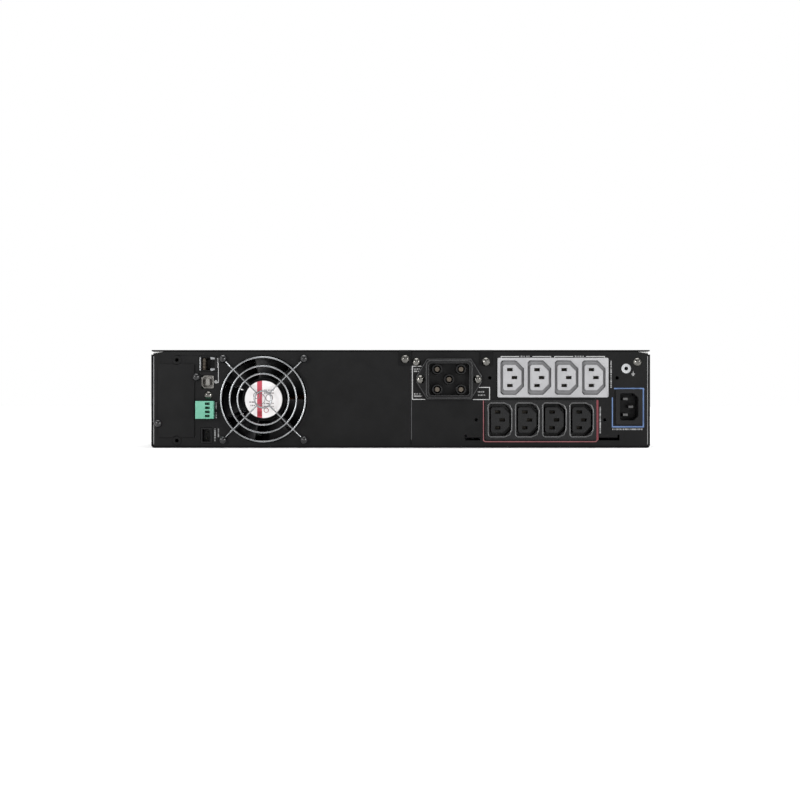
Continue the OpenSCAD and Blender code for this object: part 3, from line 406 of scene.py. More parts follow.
board = finish("circuit_board", 0.35, specular=0.5, coat=0.2)
tracks = node(board, "ShaderNodeTexBrick", Vector=place(board), Scale=55.0,
              Color1=(0.008, 0.075, 0.028, 1), Color2=(0.012, 0.100, 0.038, 1),
              Mortar=(0.020, 0.150, 0.060, 1), Mortar_Size=0.03)
connect(board, tracks.outputs["Color"], "Base Color")
uneven(board, 0.28, 0.42, 200)
grain(board, 900, 0.03)

winding = finish("enamelled_copper", 0.32, metal=0.6, specular=0.5)
turns = node(winding, "ShaderNodeTexWave", Vector=place(winding), Scale=190.0, Distortion=0.4)
turns.bands_direction = "Z"
connect(winding, blend_colours(winding, turns.outputs["Fac"], [
    (0.15, (0.16, 0.045, 0.015)), (0.75, (0.52, 0.19, 0.07))]), "Base Color")
bump(winding, turns.outputs["Fac"], 0.35)
uneven(winding, 0.26, 0.4, 300)

# %% [markdown]
# Each imported node takes the finish of its slot. A few nodes look different from the rest of their
# slot, such as contacts that sit in shadow and are coloured darker as painted shade, so they are
# named one by one.

# %% Assign the finishes to the imported nodes
finish_of_slot = {
    "black_sheet": black_sheet, "zinc_sheet": zinc_sheet, "black_plastic": black_plastic,
    "grey_plastic": grey_plastic, "dark_moulding": dark_moulding, "key_plastic": key_plastic,
    "green_plastic": green_plastic, "white_plastic": white_plastic,
    "silver_steel": silver_steel, "black_steel": black_steel, "wire_steel": wire_steel,
    "brass": brass, "battery_case": battery_case, "lead_red": lead_red,
    "heatsink": heatsink_metal, "capacitor": capacitor, "label": hub_label,
    "lens": lens_glass, "led": led_dome, "circuit_board": board, "core_iron": core_iron,
    "winding": winding,
}
finish_of_node = {
    "rear_panel": panel_coat, "rear_power_panel": panel_coat, "card_slot_cover": panel_coat,
    "outlet_block_black": socket_plastic, "battery_socket_pins": dull_pin,
    "outlet_contacts": contact_painted_shade, "detection_pins": contact_painted_shade, "inlet_pins": inlet_pin_painted_shade,
    "panel_screws": screw_nickel,
    "battery_socket_screws": screw_nickel, "usb_shell": shell_tin,
}


def finish_for(name):
    return finish_of_node.get(name, finish_of_slot[slot_of[name]])


for name, thing in nodes.items():
    thing.data.materials.clear()
    thing.data.materials.append(finish_for(name))
print("finishes", len(finish_of_slot) + len(finish_of_node))

# %% [markdown]
# ## Tools for making pieces
# Edit-mode operators act on whatever is selected, and loading the model leaves all of it
# selected. These helpers clear that first, pick faces or edges by their place, and hand a finished
# piece its name, finish and body in one go.

# %% Selection helpers
def clear_selection():
    if bpy.context.object and bpy.context.object.mode != "OBJECT":
        bpy.ops.object.mode_set(mode="OBJECT")
    bpy.ops.object.select_all(action="DESELECT")


def take(piece):
    """Select this piece alone and make it active."""
    clear_selection()
    piece.select_set(True)
    bpy.context.view_layer.objects.active = piece
    return piece


def edit(piece, kind="FACE"):
    """Open a piece in edit mode with nothing selected."""
    take(piece)
    bpy.ops.object.mode_set(mode="EDIT")
    bpy.ops.mesh.select_mode(type=kind)
    bpy.ops.mesh.select_all(action="DESELECT")


def pick(piece, test, kind="faces"):
    """Select the faces, edges or vertices that pass a test."""
    grid = bmesh.from_edit_mesh(piece.data)
    chosen = [part for part in getattr(grid, kind) if test(part)]
    for part in chosen:
        part.select_set(True)
    grid.select_flush_mode()
    bmesh.update_edit_mesh(piece.data)


def done():
    bpy.ops.object.mode_set(mode="OBJECT")


def modify(piece, kind, **values):
    """Add one modifier, set it and apply it."""
    take(piece)
    modifier = piece.modifiers.new(kind.lower(), kind)
    for key, value in values.items():
        setattr(modifier, key, value)
    bpy.ops.object.modifier_apply(modifier=modifier.name)
    return piece


def bevel(piece, width_mm, segments=3, angle=40, clamp=True):
    """Round the edges that turn by more than the angle."""
    return modify(piece, "BEVEL", width=width_mm * MM, segments=segments, limit_method="ANGLE",
                  angle_limit=math.radians(angle), use_clamp_overlap=clamp)


def smooth(piece, angle):
    """Shade smooth, apart from edges that turn by more than the angle."""
    take(piece)
    bpy.ops.object.shade_smooth_by_angle(angle=math.radians(angle))
    return piece


def hollow(width_mm):
    """Turn the one face in edit mode into a ring: inset it and delete its middle."""
    bpy.ops.mesh.select_mode(type="FACE")
    bpy.ops.mesh.select_all(action="SELECT")
    bpy.ops.mesh.inset(thickness=width_mm * MM, use_boundary=True)
    bpy.ops.mesh.delete(type="FACE")


def raise_ring(piece, height_mm, edge_mm, segments, smooth_angle):
    """Give a flat ring its height and rounded edges."""
    modify(piece, "SOLIDIFY", thickness=height_mm * MM, offset=1)
    bevel(piece, edge_mm, segments, 50, False)
    return smooth(piece, smooth_angle)


def settle(piece, name, material, sits_on, replaces=()):
    """Put the place into the mesh, then give the piece its name, finish and body."""
    take(piece)
    bpy.ops.object.transform_apply(location=True, rotation=True, scale=True)
    piece.name = piece.data.name = name
    piece.data.materials.clear()
    piece.data.materials.append(material)
    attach(piece, body_of[sits_on])
    if replaces:
        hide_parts(*replaces)
    print(name, len(piece.data.polygons), "faces")
    return piece


def join(parts):
    """Join several objects into the first one."""
    take(parts[0])
    for part in parts[1:]:
        part.select_set(True)
    if len(parts) > 1:
        bpy.ops.object.join()
    return bpy.context.object


print("selection helpers ready")

# %% [markdown]
# Places are easiest to read in millimetres, across, into the box and up, counted from the rear
# panel's face. Two small functions convert to and from the model's metres.

# %% Millimetres from the rear panel
def at(x, depth, z):
    return Vector((x * MM, rear_face + depth * MM, z * MM))


def span(node_name):
    """Lowest and highest corner of a node in millimetres."""
    low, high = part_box(node_name)
    face = Vector((0, rear_face, 0))
    return (low - face) / MM, (high - face) / MM


def middle(node_name):
    low, high = span(node_name)
    return (low + high) / 2


def start_block(low, high):
    """A cube primitive between two corners in millimetres."""
    clear_selection()
    bpy.ops.mesh.primitive_cube_add(size=1, location=at(*((Vector(low) + Vector(high)) / 2)))
    piece = bpy.context.object
    piece.scale = (Vector(high) - Vector(low)) * MM
    bpy.ops.object.transform_apply(location=True, rotation=True, scale=True)
    return piece


def start_sheet(x0, x1, z0, z1, depth):
    """A plane primitive that faces out of the rear panel."""
    clear_selection()
    bpy.ops.mesh.primitive_plane_add(
        size=1, location=at((x0 + x1) / 2, depth, (z0 + z1) / 2), rotation=(math.pi / 2, 0, 0))
    piece = bpy.context.object
    piece.scale = ((x1 - x0) * MM, (z1 - z0) * MM, 1)
    bpy.ops.object.transform_apply(location=True, rotation=True, scale=True)
    return piece


def start_disc(x, z, depth, radius, sides=40):
    """A filled circle primitive that faces out of the rear panel."""
    clear_selection()
    bpy.ops.mesh.primitive_circle_add(
        vertices=sides, radius=radius * MM, fill_type="NGON", location=at(x, depth, z),
        rotation=(math.pi / 2, 0, 0))
    bpy.ops.object.transform_apply(location=True, rotation=True, scale=True)
    return bpy.context.object


print("rear panel spans", [round(v, 1) for v in span("rear_panel")[1]])

# %% [markdown]
# ## Soft edges
# A solid model has edges of no width, which never catch the light. Real sheet is folded round a
# radius and mouldings have a draft and a blend. Each visible node is copied, its loose triangles
# are merged back to flat faces, and the edges that turn by more than thirty degrees get a small
# bevel. Weighted normals keep the flat faces flat in the light. The copy stands in for the node,
# and the node itself is never touched.

# %% Soften the visible nodes
def soften(node_name, radius):
    piece = bpy.data.objects.new(node_name + "_soft", nodes[node_name].data.copy())
    bpy.context.collection.objects.link(piece)
    edit(piece, "VERT")
    bpy.ops.mesh.select_all(action="SELECT")
    bpy.ops.mesh.remove_doubles(threshold=0.002 * MM)
    bpy.ops.mesh.dissolve_limited(angle_limit=math.radians(0.5))
    done()
    smooth(bevel(piece, radius, 2, 32, False), 38)
    modify(piece, "WEIGHTED_NORMAL", keep_sharp=True)
    settle(piece, node_name + "_soft", finish_for(node_name), node_name, (node_name,))


soft_edges = {
    0.35: ("rear_panel", "rear_power_panel", "card_slot_cover", "top_cover", "chassis_tray",
           "rack_ear_left", "rack_ear_right", "inlet_housing", "front_bezel"),
    0.5: ("battery_door", "display_housing", "batteries", "battery_socket"),
    0.25: ("outlet_block_black", "outlet_block_grey", "terminal_plug", "terminal_header",
           "power_button", "display_lens", "battery_tray"),
    0.15: ("network_jack", "usb_shell", "usb_tongue", "detection_jack", "fan_frame",
           "transformer_core", "battery_terminals"),
}
for radius, names in soft_edges.items():
    for name in names:
        soften(name, radius)
print("softened", sum(len(names) for names in soft_edges.values()))

# %% [markdown]
# ## Printing
# Legends are screen printed: a skin of ink a tenth of a millimetre thick. Lines are planes with
# their place in the mesh, joined and given a thickness. A line of small type is only a grey
# texture at this size, so it is a grid of cells with some of them deleted in a seeded pattern,
# which leaves the rhythm of words without saying anything.

# %% Ink helpers
INK = 0.1
LETTER = 0.42
WIDE_GAP = 0.16
draw = random.Random(7)


def words(x0, x1, z0, z1, depth=0.02):
    """A grid whose cells are thinned out into letter-sized marks along its longer side."""
    upright = z1 - z0 > x1 - x0
    length = (z1 - z0) if upright else (x1 - x0)
    cells = max(3, round(length / LETTER))
    sheet = start_sheet(x0, x1, z0, z1, depth)
    edit(sheet, "EDGE")
    along, over = ("z", "x") if upright else ("x", "z")
    pick(sheet, lambda e: abs(getattr(e.verts[0].co - e.verts[1].co, over)) < 1e-7, "edges")
    bpy.ops.mesh.subdivide_edgering(number_cuts=cells - 1, smoothness=0)
    bpy.ops.mesh.select_all(action="DESELECT")
    bpy.ops.mesh.select_mode(type="FACE")
    start = (z0 if upright else x0) * MM
    step = length * MM / cells
    gone, run = set(), 0
    for cell in range(cells):
        run += 1
        if run > draw.choice((2, 2, 3)):
            gone.add(cell)
            run = 0
            if draw.random() < WIDE_GAP and cell + 1 < cells:
                gone.add(cell + 1)
    pick(sheet, lambda f: int((getattr(f.calc_center_median(), along) - start) / step) in gone)
    bpy.ops.mesh.delete(type="FACE")
    done()
    return sheet


def line(x0, x1, z0, z1, depth=0.02):
    """A printed line sunk a little, so that no gap shows under the ink."""
    return start_sheet(x0, x1, z0, z1, depth)


def ring(x, z, radius, width, depth=0.02):
    """A printed circle: a disc, inset by its line width, with the middle deleted."""
    disc = start_disc(x, z, depth, radius)
    edit(disc)
    hollow(width)
    done()
    return disc


def print_on(name, parts, ink, sits_on):
    """Join printed parts and give them the thickness of the ink."""
    piece = join(parts)
    modify(piece, "SOLIDIFY", thickness=INK * MM, offset=1, use_even_offset=False)
    return settle(piece, name, ink, sits_on)


print("ink", INK, "mm thick")

# %% [markdown]
# The battery socket is marked by two corner brackets with a few words in each. Every place is
# measured from the node it belongs to.

# %% Print the brackets of the battery socket
sock = middle("battery_socket_pins")
LINE = 0.65


def bracket(x_stem, z_low, z_high, x_top, x_bottom):
    """A vertical stem with a foot at each end that points to one side."""
    top = sorted((x_stem, x_top))
    foot = sorted((x_stem, x_bottom))
    half = LINE / 2
    return [line(x_stem - half, x_stem + half, z_low, z_high),
            line(top[0] - half, top[1] + half, z_high, z_high + LINE),
            line(foot[0] - half, foot[1] + half, z_low - LINE, z_low)]


print_on("print_socket", [
    *bracket(sock.x - 32.3, sock.z - 17.3, sock.z + 11.3, sock.x - 24.7, sock.x - 21.3),
    *bracket(sock.x + 35.9, sock.z - 17.5, sock.z - 7.4, sock.x + 26.8, sock.x + 21.4),
], print_white, "rear_power_panel")
print_on("words_socket", [
    words(sock.x + x0, sock.x + x1, sock.z + z0, sock.z + z1) for x0, x1, z0, z1 in (
        (-31.0, -25.6, 8.6, 9.7), (-31.0, -26.6, 6.6, 7.7), (-31.0, -25.2, -13.4, -12.2),
        (-31.0, -23.4, -15.4, -14.2), (25.4, 31.4, -11.6, -10.4), (25.6, 31.8, -14.5, -13.3))
], print_soft, "rear_power_panel")

# %% [markdown]
# Short brackets over the grey block pair its outlets, with a word between each pair and a column
# of type at the right.

# %% Print the legends of the grey outlets
grey_low, grey_high = span("outlet_block_grey")
over = grey_high.z + 0.8


def pair_bracket(x0, x1, tick_at):
    tick = x0 if tick_at == "left" else x1 - LINE
    return [line(x0, x1, over, over + LINE), line(tick, tick + LINE, over - 0.9, over)]


print_on("print_grey_block", [
    *pair_bracket(grey_low.x + 3.0, grey_low.x + 19.1, "left"),
    *pair_bracket(grey_low.x + 30.9, grey_low.x + 47.4, "right"),
    *pair_bracket(grey_low.x + 50.3, grey_low.x + 66.9, "left"),
    *pair_bracket(grey_low.x + 78.2, grey_low.x + 95.0, "right"),
], print_white, "rear_power_panel")
print_on("words_grey_block", [
    words(grey_low.x + 20.5, grey_low.x + 28.9, over - 0.3, over + 1.0),
    words(grey_low.x + 68.3, grey_low.x + 76.3, over - 0.3, over + 1.0),
    words(grey_high.x + 1.9, grey_high.x + 3.0, grey_low.z + 8.4, grey_high.z - 2.6),
], print_soft, "rear_power_panel")

# %% [markdown]
# The black block stands in a red frame that is open at the top, with a rounded lower corner and a
# heavier right side. A plane the size of the frame gets its two lower corners bevelled, is inset
# by the line width, and loses its middle and its top.

# %% Print the red and blue frames
def open_frame(x0, x1, z0, z1, width, corner):
    """A printed outline with rounded lower corners and no top."""
    sheet = start_sheet(x0, x1, z0, z1, 0.02)
    edit(sheet, "VERT")
    pick(sheet, lambda v: v.co.z < z0 * MM + 1e-5, "verts")
    bpy.ops.mesh.bevel(offset=corner * MM, segments=6, affect="VERTICES")
    hollow(width)
    pick(sheet, lambda f: f.calc_center_median().z > (z1 - width) * MM)
    bpy.ops.mesh.delete(type="FACE")
    done()
    return sheet


black_low, black_high = span("outlet_block_black")
print_on("print_black_block_frame", [
    open_frame(black_low.x - 1.9, black_high.x + 1.3, black_low.z - 2.1, black_high.z, 0.75, 2.2),
], print_rose, "rear_power_panel")
print_on("print_black_block_side", [
    line(black_high.x + 0.3, black_high.x + 2.0, black_low.z - 0.2, black_high.z, 0.0),
], print_red, "rear_power_panel")
print_on("print_black_block_words", [
    words(black_high.x + 3.1, black_high.x + 4.2, black_low.z + 5.7, black_high.z - 5.9),
], print_soft, "rear_power_panel")

inlet_low, inlet_high = span("inlet_housing")
print_on("print_inlet_frame", [
    line(inlet_low.x - 3.3, inlet_low.x - 2.4, inlet_low.z - 1.3, inlet_high.z - 7.4),
    line(inlet_high.x + 0.4, inlet_high.x + 1.6, inlet_low.z - 1.3, inlet_high.z - 0.1),
    line(inlet_low.x - 3.3, inlet_high.x + 1.6, inlet_low.z - 2.5, inlet_low.z - 1.3),
    line(inlet_low.x - 1.4, inlet_high.x + 1.6, inlet_high.z - 0.1, inlet_high.z + 1.0),
], print_blue, "rear_power_panel")
print_on("print_inlet_words", [
    words(inlet_low.x - 2.9, inlet_high.x + 0.2, inlet_low.z - 4.7, inlet_low.z - 3.4),
], print_soft, "rear_power_panel")

# %% [markdown]
# The signal ports have narrow columns of type beside them, a leader line, and a round spot where
# a port symbol would stand. The ground stud has the earth symbol: a stem and three bars.

# %% Print the port legends and the earth symbol
usb = middle("usb_shell")
plug_low, plug_high = span("terminal_plug")
detect_low, detect_high = span("detection_jack")
stud = middle("ground_terminal")
net_low, net_high = span("network_jack")
print_on("print_ports", [
    line(usb.x + 9.2, usb.x + 9.65, usb.z - 0.8, usb.z + 16.8),
    line(usb.x + 8.4, usb.x + 9.2, usb.z - 0.8, usb.z - 0.35),
    ring(usb.x + 7.2, usb.z, 1.3, 0.5),
    line(usb.x + 6.9, usb.x + 7.5, usb.z - 0.4, usb.z + 0.4),
], print_white, "rear_panel")
print_on("words_ports", [
    words(net_high.x + 0.5, net_high.x + 1.6, net_low.z + 3.2, net_high.z - 1.0),
    words(plug_high.x + 1.2, plug_high.x + 2.2, plug_low.z + 8.4, plug_high.z - 1.0),
    words(plug_high.x + 1.2, plug_high.x + 2.2, plug_low.z + 0.4, plug_low.z + 5.6),
    words(detect_high.x + 2.2, detect_high.x + 3.2, detect_low.z + 1.7, detect_high.z - 0.7),
    words(detect_high.x + 5.2, detect_high.x + 6.2, detect_low.z + 5.3, detect_high.z - 0.7),
], print_soft, "rear_panel")
earth = (stud.x + 6.2, stud.z - 4.6)
print_on("print_earth", [
    line(earth[0] - half, earth[0] + half, earth[1] + z0, earth[1] + z1)
    for half, z0, z1 in ((0.2, 0.1, 1.9), (1.5, -0.4, 0.1), (1.0, -1.2, -0.8), (0.5, -1.9, -1.5))
], print_white, "rear_power_panel")

# %% [markdown]
# The two halves of the panel butt together, and the right half's edge catches the light. That line
# is a painted highlight: a narrow grey strip, bevelled to a round, that stands a tenth of a
# millimetre proud.

# %% Model the painted highlight on the seam
STRIP_ROUND = 0.08
seam = span("rear_power_panel")[0].x
strip = start_block((seam - 0.05, -0.12, 7), (seam + 0.55, 0.1, 72.6))
settle(bevel(strip, STRIP_ROUND), "seam_painted_highlight", edge_painted_highlight, "rear_power_panel")

# %% [markdown]
# Where the panel is folded back at its two ends, light catches the bend as a bright line. The line
# is a painted highlight: a slim block in light grey whose outer front edge is pushed back, so that
# it lies along the bend.

# %% Model the painted highlights along the folds
panel_side = span("rear_power_panel")[1].x
FOLD_IN, FOLD_WIDE, FOLD_DROP = 0.4, 0.7, 0.45
FOLD_LOW, FOLD_HIGH = 3.0, 81.0


def fold_highlight_strip(sign):
    outer = sign * (panel_side - FOLD_IN)
    low_x, high_x = sorted((outer, outer - sign * FOLD_WIDE))
    fold = start_block((low_x, 0.05, FOLD_LOW), (high_x, 1.2, FOLD_HIGH))
    edit(fold, "VERT")
    pick(fold, lambda v: abs(v.co.x - outer * MM) < 1e-5 and v.co.y < rear_face + 0.5 * MM, "verts")
    bpy.ops.transform.translate(value=(0, FOLD_DROP * MM, 0))
    done()
    return bevel(fold, STRIP_ROUND)


settle(fold_highlight_strip(-1), "fold_left_painted_highlight", fold_painted_highlight, "rear_panel")
settle(fold_highlight_strip(1), "fold_right_painted_highlight", fold_painted_highlight, "rear_power_panel")

# %% [markdown]
# The fan's sticker carries small type and round marks. They stand for the maker's print and say
# nothing. The foot of the red stripe is printed darker.

# %% Print the marks on the hub sticker
label_face = span("fan_label")[0].y + 0.02
hub = middle("fan_label")
print_on("print_hub", [
    *(words(hub.x + 0.6, hub.x + 9.5, hub.z + dz, hub.z + dz + 1.1, label_face)
      for dz in (7.6, 5.0, -4.2, -6.8)),
    ring(hub.x + 5.0, hub.z + 1.4, 3.4, 0.7, label_face),
    ring(hub.x - 6.0, hub.z + 3.4, 3.0, 0.6, label_face),
    ring(hub.x - 3.6, hub.z + 0.4, 5.2, 0.5, label_face),
    words(hub.x - 12.5, hub.x - 7.6, hub.z - 3.0, hub.z - 1.8, label_face),
    words(hub.x - 11.5, hub.x - 7.0, hub.z - 6.0, hub.z - 4.8, label_face),
], print_grey, "fan_frame")
print_on("print_hub_mark", [
    ring(hub.x + 2.4, hub.z - 9.6, 2.2, 0.5, label_face),
    line(hub.x - 5.5, hub.x - 1.3, hub.z - 15.0, hub.z - 10.6, label_face),
], print_deep, "fan_frame")

# %% [markdown]
# ## Outlet rims
# Each outlet of the black block has a glossy moulded rim round its groove. The rim is coloured a
# lighter grey than the black block, a painted highlight for the light along its edge. One rim is made
# from a plane: its corners are cut to the outlet's key shape, the face is inset to a ring and given a
# height, and the edges are rounded. The others are copies of it at the block's pitch.

# %% Model one rim and copy it
def keyed_ring(x, z, depth, size, right, left, width, height, edge):
    """An outlet's outline as a ring; right and left give its corners' cut and segments."""
    half_w, half_h = size[0] / 2, size[1] / 2
    piece = start_sheet(x - half_w, x + half_w, z - half_h, z + half_h, depth)
    edit(piece, "VERT")
    pick(piece, lambda v: v.co.x > x * MM, "verts")
    bpy.ops.mesh.bevel(offset=right[0] * MM, segments=right[1], affect="VERTICES")
    bpy.ops.mesh.select_all(action="DESELECT")
    pick(piece, lambda v: v.co.x < (x - half_w + 0.1) * MM, "verts")
    bpy.ops.mesh.bevel(offset=left[0] * MM, segments=left[1], affect="VERTICES")
    hollow(width)
    done()
    return raise_ring(piece, height, edge, 4, 50)


def copy_to(piece, shift_mm):
    """A copy with its own mesh, moved by millimetres."""
    take(piece)
    bpy.ops.object.duplicate(linked=False)
    bpy.ops.transform.translate(value=Vector(shift_mm) * MM)
    bpy.ops.object.transform_apply(location=True, rotation=True, scale=True)
    return bpy.context.object


def one_per_outlet(first):
    return join([first] + [copy_to(first, (i * PITCH, 0, 0)) for i in (1, 2, 3)])


PITCH = 24.0
RIM_OUT, RIM_WIDTH, RIM_PROUD, RIM_SEAT = (22.0, 31.2), 1.3, 0.7, 0.3
black = (black_low + black_high) / 2
rim = keyed_ring(black.x - 1.5 * PITCH, black.z, black_low.y + RIM_SEAT, RIM_OUT, (7.0, 2),
                 (3.2, 5), RIM_WIDTH, RIM_PROUD + RIM_SEAT, 0.5)
settle(one_per_outlet(rim), "outlet_rims", rim_painted_highlight, "outlet_block_black")

# %% [markdown]
# The grey outlets have a step inside the groove, which reads as a mid-grey band. The step is the
# same keyed ring, sunk into the groove, and its inner side runs into the core. It is coloured darker
# than the block's grey as painted shade inside the groove.

# %% Model the steps in the grey grooves
STEP_OUT, STEP_WIDTH, STEP_DEPTH, STEP_THICK = (20.2, 29.6), 3.5, 2.2, 3.0
grey = (grey_low + grey_high) / 2
step = keyed_ring(grey.x - 1.5 * PITCH, grey.z, grey_low.y + STEP_DEPTH + STEP_THICK, STEP_OUT,
                  (6.6, 1), (2.3, 1), STEP_WIDTH, STEP_THICK, 0.15)
settle(one_per_outlet(step), "outlet_steps", groove_painted_shade, "outlet_block_grey")

# %% [markdown]
# ## The fan
# A fan blade is a slice of a screw surface, so it is made with the Screw modifier: one radial
# edge is swept round the shaft by about forty degrees while it moves forward. It then gets a
# thickness and rounded edges, and the blades are copies turned about the shaft.

# %% Model the impeller
rotor_low, rotor_high = span("fan_rotor")
shaft = middle("fan_shaft")
TIP = (rotor_high.x - rotor_low.x) / 2
HUB = 19.0
BLADES = 7
SWEEP = 44
BLADE_THICK = 1.5
ROOT = 1.4

clear_selection()
bpy.ops.mesh.primitive_plane_add(size=1, location=at(shaft.x, rotor_low.y + 1.2, shaft.z))
blade = bpy.context.object
edit(blade, "VERT")
pick(blade, lambda v: v.co.y > 0, "verts")
bpy.ops.mesh.delete(type="VERT")
bpy.ops.mesh.select_all(action="SELECT")
bpy.ops.transform.resize(value=((TIP - HUB + ROOT) * MM, 1, 1))
bpy.ops.mesh.subdivide(number_cuts=4)
done()
for vertex in blade.data.vertices:
    vertex.co = (vertex.co.x + (TIP + HUB - ROOT) / 2 * MM, 0, 0)
modify(blade, "SCREW", axis="Y", angle=math.radians(SWEEP), steps=9, render_steps=9,
       screw_offset=(rotor_high.y - rotor_low.y - 3.4) * MM, use_normal_calculate=True)
modify(blade, "SOLIDIFY", thickness=BLADE_THICK * MM, offset=0)
smooth(bevel(blade, 0.45, 3, 50, False), 45)
bpy.ops.object.transform_apply(location=True, rotation=True, scale=True)
blades = [blade]
for i in range(1, BLADES):
    take(blade)
    bpy.ops.object.duplicate(linked=False)
    bpy.ops.transform.rotate(value=i * math.tau / BLADES, orient_axis="Y",
                             center_override=at(*shaft))
    bpy.ops.object.transform_apply(location=True, rotation=True, scale=True)
    blades.append(bpy.context.object)

clear_selection()
bpy.ops.mesh.primitive_cylinder_add(
    vertices=72, radius=HUB * MM, depth=(rotor_high.y - rotor_low.y) * MM,
    location=at(shaft.x, (rotor_high.y + rotor_low.y) / 2, shaft.z), rotation=(math.pi / 2, 0, 0))
cup = bpy.context.object
bpy.ops.object.transform_apply(location=True, rotation=True, scale=True)
edit(cup)
pick(cup, lambda f: abs(f.normal.y) > 0.9)
bpy.ops.mesh.inset(thickness=1.6 * MM, use_individual=True)
bpy.ops.transform.resize(value=(1, 0.9, 1), center_override=at(*middle("fan_rotor")))
done()
smooth(bevel(cup, 0.7, 3, 50), 45)
settle(join([cup] + blades), "impeller", black_plastic, "fan_rotor", ("fan_rotor",))
print("blades", BLADES, "sweep", SWEEP)

# %% [markdown]
# ## Small metal in the ports
# The network jack shows eight sprung wires on its left side. A wire is a slim block whose inner
# end is extruded deeper into the jack.

# %% Model the jack wires
WIRES, WIRE_PITCH = 8, 1.27
wire = start_block((net_low.x + 2.8, 0.9, net_high.z - 2.6), (net_low.x + 5.2, 1.5, net_high.z - 1.9))
edit(wire)
pick(wire, lambda f: f.normal.x > 0.9)
bpy.ops.mesh.extrude_region_move(TRANSFORM_OT_translate={"value": (1.6 * MM, 4.5 * MM, 0)})
done()
bevel(wire, 0.12, 2)
wires = [wire] + [copy_to(wire, (0, 0, -WIRE_PITCH * i)) for i in range(1, WIRES)]
settle(join(wires), "jack_wires", dull_pin, "network_jack")

# %% [markdown]
# The jack's tin shield shows as a bright bar down its left side and as two bent springs at the
# right corners. Each spring is a small block whose outer end is extruded and narrowed.

# %% Model the jack's shield
shield = [start_block((net_low.x + 0.4, -0.8, net_low.z + 0.6),
                      (net_low.x + 1.3, 0.4, net_high.z - 0.6))]
for sign in (-1, 1):
    z_mid = (net_low.z + net_high.z) / 2 + sign * 5.0
    spring = start_block((net_high.x - 5.2, -0.8, z_mid - 1.0), (net_high.x - 3.4, 0.3, z_mid + 1.0))
    edit(spring)
    pick(spring, lambda f: f.normal.x > 0.9)
    bpy.ops.mesh.extrude_region_move(
        TRANSFORM_OT_translate={"value": (1.9 * MM, 0, -sign * 0.4 * MM)})
    bpy.ops.transform.resize(value=(1, 1, 0.7))
    done()
    shield.append(spring)
for part in shield:
    bevel(part, 0.15, 2)
settle(join(shield), "jack_shield", wire_steel, "network_jack")

# %% [markdown]
# Each contact of the battery socket stands in a tower with a rounded rim. The rim is a sleeve: a
# disc is made into a ring, and the ring is given a height. The other four are copies.

# %% Model the socket sleeves
SLEEVE_OUTER, SLEEVE_INNER, SLEEVE_FRONT, SLEEVE_BACK = 4.5, 3.3, -4.75, -1.0
TOWER_X, TOWER_Z = 10.5, 8.9

tower = start_disc(sock.x, sock.z, SLEEVE_BACK, SLEEVE_OUTER, 48)
edit(tower)
hollow(SLEEVE_OUTER - SLEEVE_INNER)
done()
raise_ring(tower, SLEEVE_BACK - SLEEVE_FRONT, 0.18, 3, 45)
towers = [tower] + [copy_to(tower, (sx * TOWER_X, 0, sz * TOWER_Z))
                    for sx in (-1, 1) for sz in (-1, 1)]
settle(join(towers), "socket_tower_rims", socket_plastic, "battery_socket")

# %% [markdown]
# The socket's moulding has a rounded bead round its rim and a ridge along its flange. Both are
# rings made from a plane, in greys lighter than the socket: painted highlights along its edges. The
# flange's corners are cut on a squat plane that is then stretched upwards, because a bevel cuts the
# same length off both sides of a corner and this one doesn't.

# %% Model the socket's bead and ridge
def bead(x, z, size, depth, cut, segments, width, height, stretch=1.0):
    """A raised ring with cut or rounded corners; stretch lengthens it upwards afterwards."""
    half_w, half_h = size[0] / 2, size[1] / 2 / stretch
    piece = start_sheet(x - half_w, x + half_w, z - half_h, z + half_h, depth)
    edit(piece, "VERT")
    bpy.ops.mesh.select_all(action="SELECT")
    bpy.ops.mesh.bevel(offset=cut * MM, segments=segments, affect="VERTICES")
    bpy.ops.mesh.select_all(action="SELECT")
    bpy.ops.transform.resize(value=(1, 1, stretch), center_override=at(x, depth, z))
    hollow(width)
    done()
    return raise_ring(piece, height, min(width, height) * 0.4, 3, 50)


socket_low, socket_high = span("battery_socket")
flange_z = (socket_low.z + socket_high.z) / 2
settle(join([
    bead(sock.x, sock.z, (40.9, 33.6), socket_low.y + 0.2, 4.4, 8, 0.8, 0.5),
    bead(sock.x, sock.z, (36.6, 29.3), socket_low.y + 0.2, 3.2, 8, 0.5, 0.35),
]), "socket_bead", bead_painted_highlight, "battery_socket")
settle(bead(sock.x, flange_z, (57.2, socket_high.z - socket_low.z - 0.8), -1.95, 9.2, 1, 0.55,
            0.3, 15.1 / 9.4), "socket_ridge", edge_painted_highlight, "battery_socket")

# %% [markdown]
# ## Corner pads
# A white wedge shows in the notch at each upper corner. A nylon pad that steadies the cover is a
# likely cause, so it is a block whose lower inner edge is pulled up to the notch's slope. A black
# lip of the side wall closes the notch below the pad.

# %% Model the corner pads
cover_high = span("top_cover")[1]
PAD_LOW, LIP_HIGH = 83.5, 83.6


def corner_pad(sign):
    x_out, x_in = sign * (panel_side - 0.15), sign * (panel_side - 9.2)
    low_x, high_x = sorted((x_out, x_in))
    pad = start_block((low_x, 2.4, PAD_LOW), (high_x, 5.4, cover_high.z - 1.35))
    edit(pad, "VERT")
    pick(pad, lambda v: abs(v.co.x - x_in * MM) < 1e-5 and v.co.z < (PAD_LOW + 0.5) * MM, "verts")
    bpy.ops.transform.translate(value=(0, 0, 1.2 * MM))
    done()
    return bevel(pad, 0.2, 2, 30)


def corner_lip(sign):
    low_x, high_x = sorted((sign * (panel_side - 0.25), sign * (panel_side - 9.4)))
    return bevel(start_block((low_x, 0.5, 80.6), (high_x, 2.2, LIP_HIGH)), 0.3, 3, 30)


